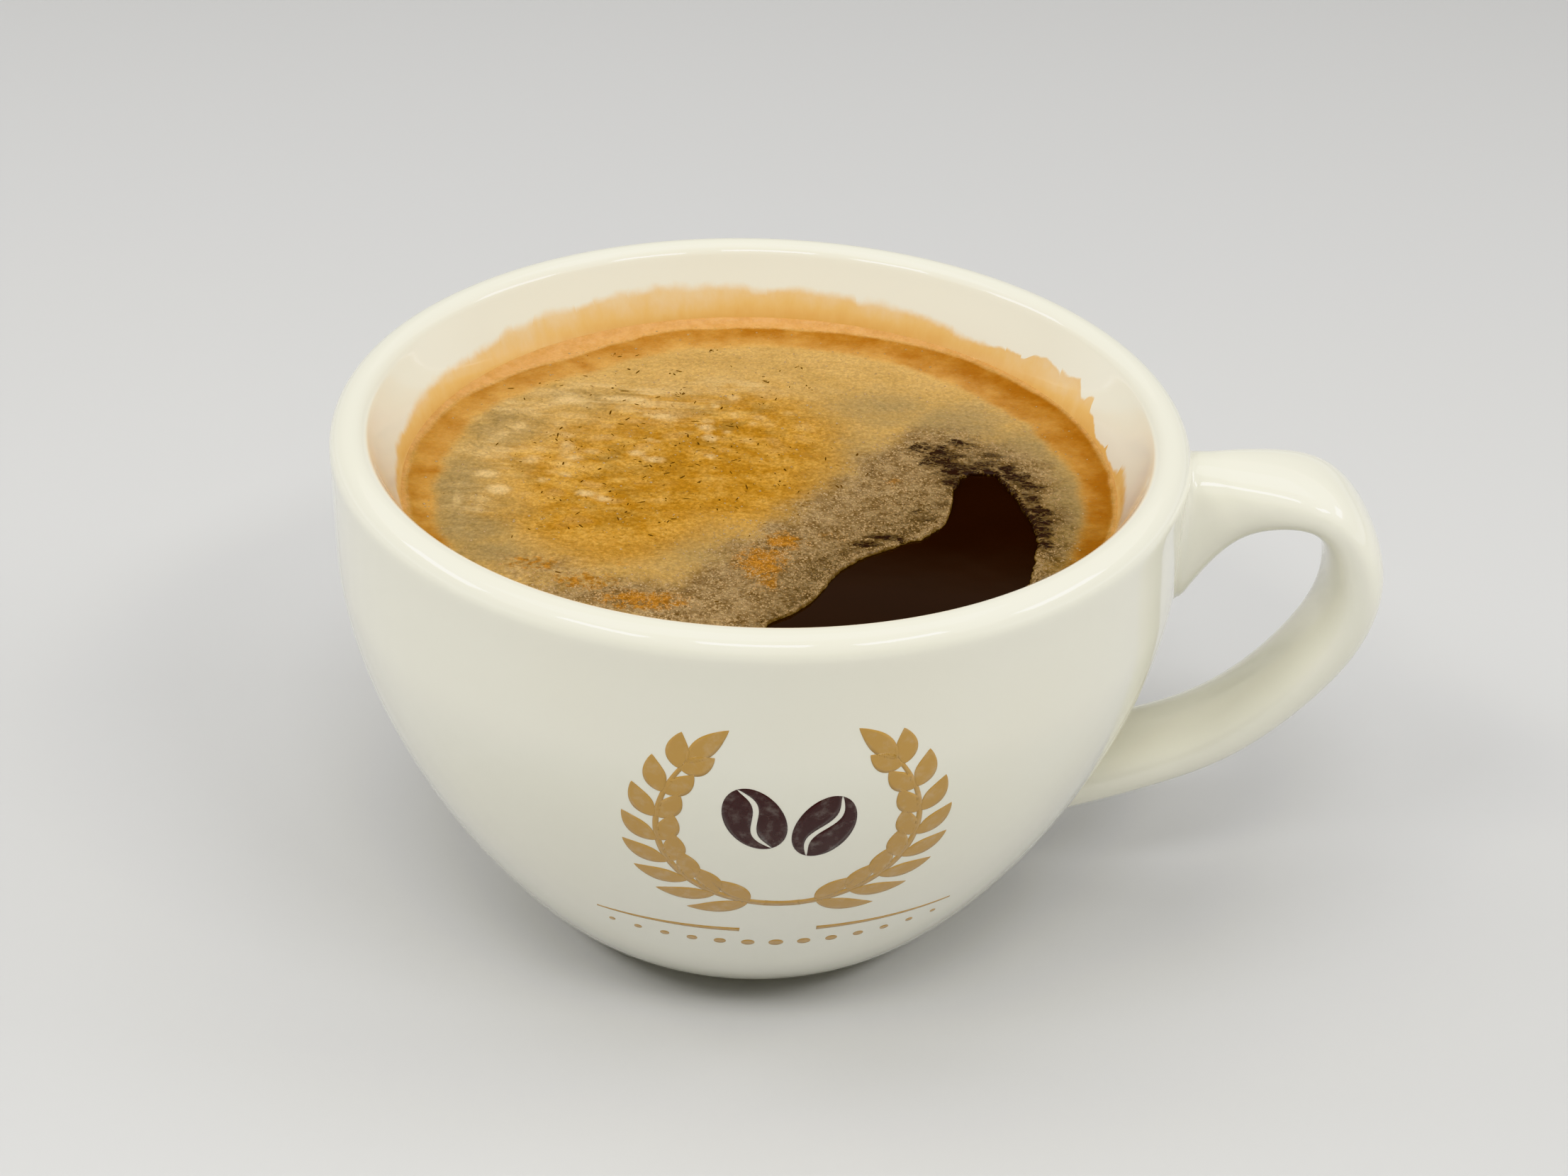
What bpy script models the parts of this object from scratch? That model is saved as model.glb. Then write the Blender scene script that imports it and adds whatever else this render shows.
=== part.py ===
"""Americano in its cup: a thick-walled porcelain cup with a strap handle, filled with black coffee
under a layer of crema that has an opening in it.

Metres, +Z up. The cup stands on z = 0 with its handle on +X. The origin is on the surface that it
stands on, under the middle of the whole (cup and handle), so the cup's own axis is at negative X.
"""

import math

import bpy
import numpy as np

MM = 0.001

# Driving dimensions of the cup
CUP_RADIUS = 48.0 * MM          # outer radius at the widest, just under the rim
CUP_HEIGHT = 63.6 * MM          # from the table to the top of the rim
RIM_CREST_RADIUS = 45.6 * MM    # radius of the highest ring of the rim
RIM_INNER_ROUND = 2.1 * MM      # rounding from the crest into the cup
RIM_OUTER_ROUND = CUP_RADIUS - RIM_CREST_RADIUS
RIM_INNER_TURN = math.radians(66.1)  # how far the inner rounding turns before the wall runs straight
STRAIGHT_BOTTOM = 49.0 * MM     # the outer wall is upright from the rim down to this height
BOWL_PULL_HIGH = (48.0 * MM, 29.0 * MM)  # Bezier handles that shape the round bowl
BOWL_PULL_LOW = (29.0 * MM, 1.6 * MM)

# Foot ring
FOOT_TOP_RADIUS = 24.0 * MM
FOOT_TOP_HEIGHT = 1.7 * MM
FOOT_RADIUS = 22.4 * MM
FOOT_INNER_RADIUS = 18.6 * MM
FOOT_BEVEL = 0.5 * MM
FOOT_RECESS = 1.5 * MM

# Hollow
WALL_PULL = 5.0 * MM            # how long the flare under the lip runs straight
THROAT_RADIUS = 39.6 * MM       # inner radius where the flare ends
THROAT_HEIGHT = 50.0 * MM
FLOOR_HEIGHT = 8.5 * MM
HOLLOW_PULL_HIGH = (39.5 * MM, 26.0 * MM)
HOLLOW_PULL_LOW = (33.0 * MM, 8.5 * MM)

# Contents
GAP = 0.3 * MM                  # clearance between solids that touch
CREMA_TOP = 54.7 * MM
CREMA_THICKNESS = 1.0 * MM
COFFEE_TOP = CREMA_TOP - CREMA_THICKNESS - GAP

# The opening in the crema, from the cup's axis, anticlockwise from its far left tip
OPENING = [
    (2.0, -30.5), (3.5, -34.2), (13.0, -34.0), (24.0, -27.5), (29.4, -19.8), (31.0, -12.5),
    (31.6, -7.2), (28.6, 0.6), (24.4, 6.2), (21.6, 2.4), (20.9, -5.6), (16.2, -12.4), (7.8, -22.2),
]

# Handle, as stations from the upper root to the lower one, each from the cup's axis:
# outer edge (x, z), inner edge (x, z), width across
HANDLE_STATIONS = [
    ((45.4, 60.0), (45.4, 38.4), 12.5),
    ((47.6, 60.1), (49.4, 42.9), 11.3),
    ((51.4, 60.2), (53.2, 49.3), 10.6),
    ((58.2, 60.1), (58.4, 53.0), 12.3),
    ((65.4, 58.0), (62.3, 53.1), 14.2),
    ((70.2, 52.1), (64.5, 49.8), 14.1),
    ((71.8, 44.6), (65.2, 44.8), 13.6),
    ((70.0, 37.5), (64.2, 40.1), 13.1),
    ((66.5, 31.6), (61.5, 35.2), 12.7),
    ((55.9, 21.0), (52.5, 26.3), 12.6),
    ((48.4, 17.2), (46.0, 23.2), 13.1),
    ((40.4, 14.1), (38.2, 20.6), 14.0),
    ((35.6, 12.6), (34.0, 19.2), 14.4),
]
HANDLE_SQUARENESS = 2.4         # superellipse exponent of its section: 2 is an ellipse

# Smoothness of the meshes
TURNED_STEPS = 72
BOWL_STEPS = 12
HOLLOW_STEPS = 8
FLARE_STEPS = 4
RIM_STEPS = 4
HANDLE_STEPS = 34
HANDLE_SIDES = 20
WELD = 0.01 * MM

GLAZE_COLOUR = (0.86, 0.83, 0.74, 1.0)
COFFEE_COLOUR = (0.016, 0.006, 0.003, 1.0)
CREMA_COLOUR = (0.50, 0.27, 0.08, 1.0)


def clear_scene():
    """Remove the objects that the file starts with."""
    for thing in list(bpy.data.objects):
        bpy.data.objects.remove(thing)


def new_collection(name):
    """A collection under the scene's own."""
    collection = bpy.data.collections.new(name)
    bpy.context.scene.collection.children.link(collection)
    return collection


def plain_material(name, colour, roughness):
    """A Principled BSDF of one colour."""
    material = bpy.data.materials.new(name)
    material.use_nodes = True
    shader = material.node_tree.nodes["Principled BSDF"]
    shader.inputs["Base Color"].default_value = colour
    shader.inputs["Roughness"].default_value = roughness
    shader.inputs["Metallic"].default_value = 0.0
    return material


def bezier(start, pull_start, pull_end, end, steps):
    """Points of one cubic Bezier, both ends included."""
    t = np.linspace(0.0, 1.0, steps + 1)[:, None]
    a, b, c, d = (np.asarray(p) for p in (start, pull_start, pull_end, end))
    return (1 - t) ** 3 * a + 3 * (1 - t) ** 2 * t * b + 3 * (1 - t) * t ** 2 * c + t ** 3 * d


def arc(centre, radius, first, last, steps):
    """Points of a circular arc between two angles from the +X direction, both ends included."""
    angle = np.linspace(first, last, steps + 1)
    return np.stack([centre[0] + radius * np.cos(angle), centre[1] + radius * np.sin(angle)], axis=1)


def joined(*runs):
    """One outline from runs that start where the last one ended."""
    points = [np.asarray(runs[0])]
    for run in runs[1:]:
        run = np.asarray(run)
        skip = 1 if np.allclose(points[-1][-1], run[0], atol=WELD) else 0
        points.append(run[skip:])
    return np.concatenate(points)


def hollow_outline():
    """The cup's inside as (radius, height), from the floor's middle up to the crest of the rim."""
    rounding = arc((RIM_CREST_RADIUS, CUP_HEIGHT - RIM_INNER_ROUND), RIM_INNER_ROUND,
                   math.pi / 2 + RIM_INNER_TURN, math.pi / 2, RIM_STEPS)
    lip = rounding[0]
    flare_down = np.array([-math.cos(RIM_INNER_TURN), -math.sin(RIM_INNER_TURN)])
    throat = (THROAT_RADIUS, THROAT_HEIGHT)
    flare = bezier(throat, (THROAT_RADIUS, THROAT_HEIGHT + WALL_PULL), lip + WALL_PULL * flare_down, lip,
                   FLARE_STEPS)
    bowl = bezier((0.0, FLOOR_HEIGHT), HOLLOW_PULL_LOW, HOLLOW_PULL_HIGH, throat, HOLLOW_STEPS)
    return joined(bowl, flare, rounding)


def cup_outline():
    """The cup's closed wall as (radius, height): up the inside, over the rim, down to the foot."""
    outer_rim = arc((RIM_CREST_RADIUS, CUP_HEIGHT - RIM_OUTER_ROUND), RIM_OUTER_ROUND,
                    math.pi / 2, 0.0, RIM_STEPS)
    bowl = bezier((CUP_RADIUS, STRAIGHT_BOTTOM), BOWL_PULL_HIGH, BOWL_PULL_LOW,
                  (FOOT_TOP_RADIUS, FOOT_TOP_HEIGHT), BOWL_STEPS)
    foot = [
        (FOOT_RADIUS + FOOT_BEVEL, FOOT_BEVEL),
        (FOOT_RADIUS, 0.0),
        (FOOT_INNER_RADIUS, 0.0),
        (FOOT_INNER_RADIUS - FOOT_BEVEL, FOOT_BEVEL),
        (FOOT_INNER_RADIUS - FOOT_RECESS, FOOT_RECESS),
        (0.0, FOOT_RECESS),
    ]
    return joined(hollow_outline(), outer_rim, bowl, foot)


def turned(name, outline, collection, material):
    """An object turned about Z from an outline that runs down its outer side."""
    mesh = bpy.data.meshes.new(name)
    points = [(float(r), 0.0, float(z)) for r, z in outline]
    edges = [(i, i + 1) for i in range(len(points) - 1)]
    mesh.from_pydata(points, edges, [])
    mesh.materials.append(material)
    thing = bpy.data.objects.new(name, mesh)
    collection.objects.link(thing)
    screw = thing.modifiers.new("Turn", "SCREW")
    screw.axis = "Z"
    screw.steps = TURNED_STEPS
    screw.render_steps = TURNED_STEPS
    screw.use_merge_vertices = True
    screw.merge_threshold = WELD
    screw.use_smooth_shade = True
    return thing


def smooth_through(values, count):
    """A natural cubic spline through rows of values, spaced by the chords between them, read at
    count even steps."""
    values = np.asarray(values, dtype=float)
    last = len(values) - 1
    chord = np.linalg.norm(np.diff(values, axis=0), axis=1)
    knot = np.concatenate([[0.0], np.cumsum(chord)])
    slope = np.diff(values, axis=0) / chord[:, None]
    matrix = np.eye(last + 1)
    right = np.zeros_like(values)
    for i in range(1, last):
        matrix[i, i - 1:i + 2] = (chord[i - 1], 2.0 * (chord[i - 1] + chord[i]), chord[i])
        right[i] = 6.0 * (slope[i] - slope[i - 1])
    bend = np.linalg.solve(matrix, right)
    at = np.linspace(0.0, knot[-1], count)
    low = np.minimum(np.searchsorted(knot, at, side="right") - 1, last - 1)
    step = chord[low][:, None]
    t = (at - knot[low])[:, None] / step
    s = 1.0 - t
    return (s * values[low] + t * values[low + 1]
            + step ** 2 * ((s ** 3 - s) * bend[low] + (t ** 3 - t) * bend[low + 1]) / 6.0)


def handle_mesh():
    """The handle as a loft of superellipse sections between its outer and inner edges."""
    rows = [(outer[0], outer[1], inner[0], inner[1], width) for outer, inner, width in HANDLE_STATIONS]
    rows = smooth_through(rows, HANDLE_STEPS) * MM
    turn = np.linspace(0.0, 2.0 * math.pi, HANDLE_SIDES, endpoint=False)
    power = 2.0 / HANDLE_SQUARENESS
    across = np.sign(np.cos(turn)) * np.abs(np.cos(turn)) ** power
    aside = np.sign(np.sin(turn)) * np.abs(np.sin(turn)) ** power
    middle = (rows[:, 0:2] + rows[:, 2:4]) / 2.0
    half = (rows[:, 0:2] - rows[:, 2:4]) / 2.0
    x = middle[:, :1] + half[:, :1] * across
    z = middle[:, 1:] + half[:, 1:] * across
    y = rows[:, 4:5] / 2.0 * aside
    points = np.stack([x, y, z], axis=-1).reshape(-1, 3)
    faces = []
    for i in range(HANDLE_STEPS - 1):
        for j in range(HANDLE_SIDES):
            k = (j + 1) % HANDLE_SIDES
            a, b = i * HANDLE_SIDES, (i + 1) * HANDLE_SIDES
            faces.append((a + j, b + j, b + k, a + k))
    faces.append(tuple(range(HANDLE_SIDES)))
    faces.append(tuple(reversed(range(len(points) - HANDLE_SIDES, len(points)))))
    mesh = bpy.data.meshes.new("handle_body")
    mesh.from_pydata([tuple(p) for p in points.tolist()], [], faces)
    return mesh


def make_cup(collection, guides, material):
    """The bowl with its handle, one solid."""
    cup = turned("cup", cup_outline(), collection, material)
    handle = bpy.data.objects.new("handle_body", handle_mesh())
    handle.data.materials.append(material)
    handle.hide_render = True
    handle.display_type = "WIRE"
    guides.objects.link(handle)
    union = cup.modifiers.new("Handle", "BOOLEAN")
    union.operation = "UNION"
    union.solver = "EXACT"
    union.object = handle
    return cup, handle


def make_coffee(collection, material):
    """The drink: what fills the hollow up to its level, a gap inside the wall."""
    hollow = hollow_outline()
    along = np.gradient(hollow, axis=0)
    along /= np.linalg.norm(along, axis=1)[:, None]
    inward = np.stack([-along[:, 1], along[:, 0]], axis=1)
    side = hollow + GAP * inward
    side[0, 0] = 0.0
    order = side[:, 1].searchsorted(COFFEE_TOP)
    radius = np.interp(COFFEE_TOP, side[:order + 1, 1], side[:order + 1, 0])
    below = side[:order][::-1]
    outline = np.concatenate([[(0.0, COFFEE_TOP), (radius, COFFEE_TOP)], below])
    return turned("coffee", outline, collection, material)


def closed_spline(curve, points, resolution):
    """A smooth closed Bezier spline through flat points."""
    spline = curve.splines.new("BEZIER")
    spline.bezier_points.add(len(points) - 1)
    for knot, (x, y) in zip(spline.bezier_points, points):
        knot.co = (x, y, 0.0)
        knot.handle_left_type = "AUTO"
        knot.handle_right_type = "AUTO"
    spline.use_cyclic_u = True
    spline.resolution_u = resolution
    return spline


def make_crema(collection, material):
    """The layer of foam that floats on the drink, with the opening through it."""
    hollow = hollow_outline()
    bottom = CREMA_TOP - CREMA_THICKNESS
    rim = np.interp(bottom, hollow[:, 1], hollow[:, 0]) - GAP
    curve = bpy.data.curves.new("crema", "CURVE")
    curve.dimensions = "2D"
    curve.fill_mode = "BOTH"
    curve.extrude = CREMA_THICKNESS / 2.0
    turn = np.linspace(0.0, 2.0 * math.pi, 12, endpoint=False)
    closed_spline(curve, [(rim * math.cos(a), rim * math.sin(a)) for a in turn], 7)
    closed_spline(curve, [(x * MM, y * MM) for x, y in OPENING], 5)
    curve.materials.append(material)
    crema = bpy.data.objects.new("crema", curve)
    crema.location.z = CREMA_TOP - CREMA_THICKNESS / 2.0
    collection.objects.link(crema)
    return crema


def main():
    clear_scene()
    parts = new_collection("americano")
    guides = new_collection("guides")
    glaze = plain_material("glaze", GLAZE_COLOUR, 0.15)
    drink = plain_material("drink", COFFEE_COLOUR, 0.05)
    foam = plain_material("foam", CREMA_COLOUR, 0.5)

    cup, handle = make_cup(parts, guides, glaze)
    coffee = make_coffee(parts, drink)
    crema = make_crema(parts, foam)

    reach = max(vertex.co.x for vertex in handle.data.vertices)
    axis = bpy.data.objects.new("cup_axis", None)
    axis.location.x = (CUP_RADIUS - reach) / 2.0
    parts.objects.link(axis)
    for thing in (cup, handle, coffee, crema):
        thing.parent = axis


main()
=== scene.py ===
"""Americano in its cup.

The looks of a thick-walled porcelain cup of black coffee under crema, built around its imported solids.
Each piece is a surface worked out with numpy, and each operator below makes one piece or one group.
The cup's axis is upright at x = AXIS_X and y = 0, its handle points along +X, and the table is z = 0.
"""

import math

import bpy
import numpy as np
from bpy.props import FloatProperty, FloatVectorProperty, IntProperty, PointerProperty
from mathutils import Matrix, Vector


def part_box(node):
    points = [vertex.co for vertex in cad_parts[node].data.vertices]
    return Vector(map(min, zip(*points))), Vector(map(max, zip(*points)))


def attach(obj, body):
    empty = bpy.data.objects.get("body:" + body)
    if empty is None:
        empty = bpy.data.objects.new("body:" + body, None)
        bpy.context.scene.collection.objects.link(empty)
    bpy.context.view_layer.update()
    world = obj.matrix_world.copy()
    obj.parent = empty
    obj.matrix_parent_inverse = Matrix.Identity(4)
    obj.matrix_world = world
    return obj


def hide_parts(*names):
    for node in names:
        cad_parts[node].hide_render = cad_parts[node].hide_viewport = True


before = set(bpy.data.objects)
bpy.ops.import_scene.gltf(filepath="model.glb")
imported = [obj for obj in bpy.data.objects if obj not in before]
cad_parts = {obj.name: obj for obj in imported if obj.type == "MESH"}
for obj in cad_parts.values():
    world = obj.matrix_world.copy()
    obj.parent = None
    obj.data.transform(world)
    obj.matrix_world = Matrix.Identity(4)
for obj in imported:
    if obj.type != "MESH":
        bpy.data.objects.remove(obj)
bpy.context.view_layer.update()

bl_info = {
    "name": "Americano in its cup",
    "version": (1, 0, 0),
    "blender": (4, 5, 0),
    "location": "3D View > Sidebar > Americano",
    "description": "Makes a glazed cup of black coffee with crema, and its studio",
    "category": "Object",
}

MM = 0.001

# Sizes read from the solids
cup_low, cup_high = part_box("cup")
crema_low, crema_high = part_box("crema")
CUP_RADIUS = (cup_high[1] - cup_low[1]) / 2.0
CUP_HEIGHT = cup_high[2]
AXIS_X = cup_low[0] + CUP_RADIUS
CREMA_LEVEL = crema_high[2]
CREMA_RADIUS = (crema_high[1] - crema_low[1]) / 2.0

# Steps of the rim's rounding, how far it turns on the inside, and where the bowl meets the foot
RIM_STEPS = 12
RIM_TURN = math.radians(66.1)
BOWL_END = (24.0 * MM, 1.7 * MM)

# Index of refraction of each finish
GLAZE_IOR = 1.52
COFFEE_IOR = 1.34
FOAM_IOR = 1.36

# The opening in the crema, in mm from the cup's axis, round the one in the solids
OPENING = [
    (2.0, -30.5), (3.5, -34.2), (13.0, -34.0), (24.0, -27.5), (29.5, -19.8), (30.6, -15.4), (31.0, -11.6),
    (30.7, -8.0), (29.9, -4.2), (28.8, -0.6), (27.7, 2.2), (26.3, 3.6), (24.4, 3.5), (22.9, 2.0),
    (22.1, -0.4), (21.8, -4.0), (20.8, -8.0), (18.4, -11.0), (15.4, -13.2), (12.2, -15.8), (9.9, -18.4),
    (8.4, -21.2), (7.0, -24.6), (4.8, -27.8),
]
OPENING_MIDDLE = (24.0, -14.0)

# Handle stations from the upper root to the lower one, in mm from the cup's axis:
# outer edge (x, z), inner edge (x, z), width across
HANDLE_STATIONS = [
    ((45.4, 60.0), (44.8, 42.4), 12.5),
    ((47.4, 60.1), (48.5, 42.6), 11.6),
    ((49.0, 60.15), (49.55, 44.0), 11.0),
    ((52.6, 60.2), (54.0, 50.5), 10.7),
    ((58.2, 60.1), (58.4, 53.0), 12.3),
    ((65.4, 58.0), (62.3, 53.1), 14.2),
    ((70.2, 52.1), (64.5, 49.8), 14.1),
    ((71.8, 44.6), (65.2, 44.8), 13.6),
    ((70.0, 37.5), (64.2, 40.1), 13.1),
    ((66.5, 31.6), (61.5, 35.2), 12.7),
    ((55.9, 21.0), (52.5, 26.3), 12.6),
    ((48.4, 17.2), (46.0, 23.2), 13.1),
    ((40.4, 14.1), (38.2, 20.6), 14.0),
    ((35.6, 12.6), (34.0, 19.2), 14.4),
]

# Height of the coffee's stain on the inner wall over the crema: azimuth in degrees, height in mm
STAIN_HEIGHTS = [(0, 1.9), (9, 1.6), (17, 1.5), (20, 2.9), (23, 2.7), (25.5, 1.3), (28.5, 3.0), (36, 3.2),
                 (56, 3.1), (72, 3.5), (92, 3.9), (112, 4.5), (132, 4.0), (150, 3.0), (162, 3.3),
                 (172, 2.7), (185, 1.7), (210, 1.2), (270, 1.0), (330, 1.4)]

# A depth under the stain's upper edge, in mm, that stands for no stain at all
NO_STAIN = -20.0

# Distance of the orange ring's inner and outer edge from the wall: azimuth in degrees, mm
RING_INNER = [(0, 4.4), (23, 6.2), (45, 7.2), (90, 7.8), (112, 7.9), (131, 8.4), (147, 7.0), (163, 5.4),
              (180, 4.9), (195, 3.7), (225, 3.0), (270, 2.6), (315, 2.9)]
RING_OUTER = [(0, 0.3), (30, 0.2), (50, 0.6), (90, 2.1), (110, 2.0), (122, 2.8), (131, 3.2), (147, 1.9),
              (160, 0.8), (180, 0.4), (270, 0.4), (315, 0.4)]

# Outlines of the golden foam and of the froth about the opening, in mm from the cup's axis
GOLD_EDGE = [
    (9.0, 6.0), (8.0, 14.0), (2.0, 20.5), (-7.0, 21.5), (-14.0, 18.0), (-19.0, 12.0), (-25.0, 9.0),
    (-28.5, 2.0), (-29.0, -6.0), (-26.0, -14.0), (-20.0, -18.5), (-12.0, -17.5), (-6.0, -12.0),
    (1.0, -8.0), (6.0, -2.0),
]
GOLD_MIDDLE = (-9.0, 2.0)
FROTH_EDGE = [
    (-12.0, -33.0), (-8.0, -25.0), (-4.0, -19.0), (0.0, -12.5), (5.0, -6.0), (9.0, 0.0), (12.0, 7.0),
    (17.0, 12.5), (24.0, 13.0), (30.0, 8.0), (33.5, 1.0), (34.5, -8.0), (33.5, -17.0), (30.0, -28.0),
    (15.0, -42.0),
]
FROTH_MIDDLE = (20.0, -10.0)

# Every table of soft spots on the foam holds x and y in mm from the cup's axis, the reach across and
# deep in mm, and the strength. The first is of thin greyish foam
GREY = [
    (14.0, 18.0, 11.0, 6.0, 0.65), (23.0, 15.0, 8.0, 7.0, 0.85), (30.0, 8.0, 6.0, 9.0, 0.95),
    (34.5, -2.0, 3.5, 13.0, 0.95), (-33.5, -6.0, 4.0, 10.0, 0.85), (-31.0, -13.0, 5.5, 7.0, 0.95),
    (-28.0, -19.0, 6.0, 4.0, 0.8), (-29.5, 8.0, 6.0, 9.0, 0.65), (-22.0, 17.0, 12.0, 4.0, 0.5),
    (-5.0, -17.0, 10.0, 7.0, 0.6), (6.0, -2.0, 7.0, 9.0, 0.6), (9.0, 8.0, 6.0, 7.0, 0.60),
]
# Brown speckled patches
BROWN = [
    (3.3, -13.8, 2.4, 2.0, 0.95), (1.0, -18.3, 3.0, 3.6, 1.0), (2.0, -22.6, 1.8, 2.2, 0.6),
    (-23.5, -21.0, 4.0, 2.2, 0.6), (-17.5, -24.0, 4.2, 2.2, 0.7), (-11.0, -27.2, 5.0, 2.2, 0.9),
    (15.0, 0.5, 1.6, 1.6, 0.45), (8.5, -12.0, 2.0, 1.4, 0.4), (-14.0, -20.0, 2.4, 1.4, 0.35),
]
# Foam in round curds
CELLS = [
    (-22.0, 3.0, 10.0, 10.0, 1.0), (-5.0, 14.0, 11.0, 8.0, 0.9), (-20.0, -7.0, 9.0, 6.0, 0.7),
    (-29.0, 8.0, 7.0, 12.0, 1.0), (-22.0, 16.0, 12.0, 6.0, 0.9), (-31.0, -8.0, 5.0, 8.0, 0.8),
]
# Places with long pale streaks
STREAKS = [
    (-17.0, 18.0, 10.0, 3.5, 0.9), (-26.5, 14.0, 6.0, 4.0, 0.5), (-12.0, 13.5, 4.0, 2.0, 0.6),
    (-3.0, 22.5, 7.0, 2.0, 0.6), (-30.5, 2.0, 4.0, 6.0, 0.5), (-32.0, -9.0, 3.0, 4.0, 0.5),
]
# Pale islands
ISLANDS = [
    (-7.0, 11.0, 1.1, 1.0, 0.9), (-6.4, 8.7, 1.2, 1.0, 0.9), (-4.6, 10.2, 0.9, 0.8, 0.7),
    (-4.2, 19.0, 1.1, 0.9, 0.8), (-6.3, 16.6, 1.0, 0.8, 0.8), (-3.9, 14.8, 1.0, 0.8, 0.6),
    (-29.2, -5.6, 1.6, 1.3, 1.0), (-19.3, -5.6, 1.4, 0.9, 0.9), (-17.3, -6.7, 1.1, 0.8, 0.9),
    (-14.6, 4.2, 1.3, 0.9, 0.8), (-12.4, 2.9, 1.5, 0.9, 0.9), (-22.8, 5.6, 1.3, 1.1, 0.7),
    (-21.3, 2.4, 1.2, 1.0, 0.7), (-26.5, 1.2, 1.5, 1.0, 0.7), (-31.0, -2.4, 1.9, 1.3, 0.8),
    (-22.0, -1.6, 1.1, 0.9, 0.7), (-6.1, 4.4, 1.0, 0.8, 0.7), (-12.9, 7.2, 1.1, 0.8, 0.7),
    (-24.5, -3.0, 1.1, 0.9, 0.6), (-1.5, 12.5, 0.9, 0.7, 0.6), (-33.3, -8.5, 0.9, 2.2, 0.7),
    (-16.9, 17.3, 4.0, 0.9, 0.9), (-12.4, 13.4, 3.0, 1.0, 0.9), (-24.0, 16.2, 2.6, 1.4, 0.8),
    (-20.0, 20.6, 5.0, 0.6, 0.7), (-2.0, 22.3, 3.2, 0.9, 0.7), (-31.5, 13.2, 2.6, 0.8, 0.6),
]
# Lace, where bare coffee shows through holes in the foam
LACE = [
    (20.7, 7.4, 1.5, 0.9, 0.62), (19.9, 5.6, 1.3, 1.1, 0.60), (21.9, 5.2, 1.3, 0.8, 0.58),
    (22.6, 3.4, 1.7, 1.0, 0.66), (22.6, 1.4, 1.4, 0.9, 0.62), (24.6, 4.0, 1.5, 1.0, 0.66),
    (20.2, 8.8, 1.6, 0.8, 0.46), (22.6, 10.4, 1.8, 1.0, 0.43), (18.2, 8.8, 1.4, 1.2, 0.42),
    (25.8, 5.8, 1.4, 0.7, 0.50), (28.3, 5.0, 1.0, 0.8, 0.52), (29.2, 3.0, 1.2, 1.0, 0.58),
    (30.8, 1.2, 1.2, 0.8, 0.52), (30.6, -1.8, 1.0, 1.2, 0.50), (31.6, -4.6, 1.1, 0.9, 0.57),
    (31.2, -6.8, 1.2, 1.1, 0.60), (31.8, -9.0, 0.9, 1.2, 0.54), (31.6, -11.6, 0.9, 1.3, 0.50),
    (14.4, -11.8, 1.7, 0.6, 0.50), (12.4, -13.4, 1.4, 0.6, 0.47), (17.2, -6.2, 1.7, 0.9, 0.31),
    (18.6, -7.6, 1.2, 0.8, 0.33), (15.6, -3.4, 1.4, 0.8, 0.28), (27.0, 8.0, 1.6, 0.6, 0.40),
]
# Factors on the strength and the reach of every spot of lace
LACE_OPEN = 1.16
LACE_SPREAD = 1.75
# Froth at the front: on the foam's colour, and where bubbles are more likely
FRONT_FROTH = [(-13.0, -27.0, 14.0, 5.0, 0.9), (-22.0, -22.0, 7.0, 3.5, 0.6)]
FRONT_BUBBLES = [(-8.0, -26.5, 16.0, 3.5, 0.5), (1.5, -18.0, 5.0, 6.0, 0.8)]
# Draws for each bubble, flecks in each cluster, and flecks strewn over the golden foam
TRIES_PER_BUBBLE = 40
FLECKS_PER_CLUSTER = 6
LOOSE_FLECKS = 260
# Clusters of coffee flecks: x, y and spread in mm
FLECK_CLUSTERS = [
    (-24.0, 6.6, 0.9), (-22.2, 7.1, 1.0), (-10.8, 19.4, 0.4), (-26.3, 20.3, 0.7), (-12.0, 24.8, 0.8),
    (3.6, 27.7, 0.5), (-1.6, 18.8, 1.4), (0.3, 17.4, 0.8), (-4.1, 11.8, 0.4), (-16.5, -6.7, 0.7),
    (-22.7, -7.2, 0.8), (-14.2, -9.8, 0.5), (-19.8, -12.2, 0.8), (-0.6, 24.0, 0.6), (4.6, 22.4, 0.4),
    (-9.0, -10.2, 1.2), (2.0, -1.6, 0.6), (-11.8, -1.4, 0.8), (-7.4, 31.4, 0.4), (-19.4, 28.6, 0.5),
]


def srgb(red, green, blue):
    """A linear RGBA colour from display values of 0 to 255."""
    level = np.array([red, green, blue]) / 255.0
    linear = np.where(level <= 0.04045, level / 12.92, ((level + 0.055) / 1.055) ** 2.4)
    return tuple(linear.tolist()) + (1.0,)


def scaled(colour, factors):
    """A colour with each channel times its factor, no more than 1."""
    return tuple(min(1.0, c * f) for c, f in zip(colour, factors))


def length_property(name, description, default):
    """A property that holds a length in metres."""
    return FloatProperty(name=name, description=description, default=default, subtype="DISTANCE",
                         unit="LENGTH", precision=5)


def angle_property(name, description, degrees):
    """A property that holds an angle, its default given in degrees."""
    return FloatProperty(name=name, description=description, default=math.radians(degrees),
                         subtype="ANGLE", unit="ROTATION")


def colour_property(name, description, default):
    """A property that holds a linear colour."""
    return FloatVectorProperty(name=name, description=description, default=default[:3], size=3,
                               min=0.0, max=1.0, subtype="COLOR")


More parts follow.
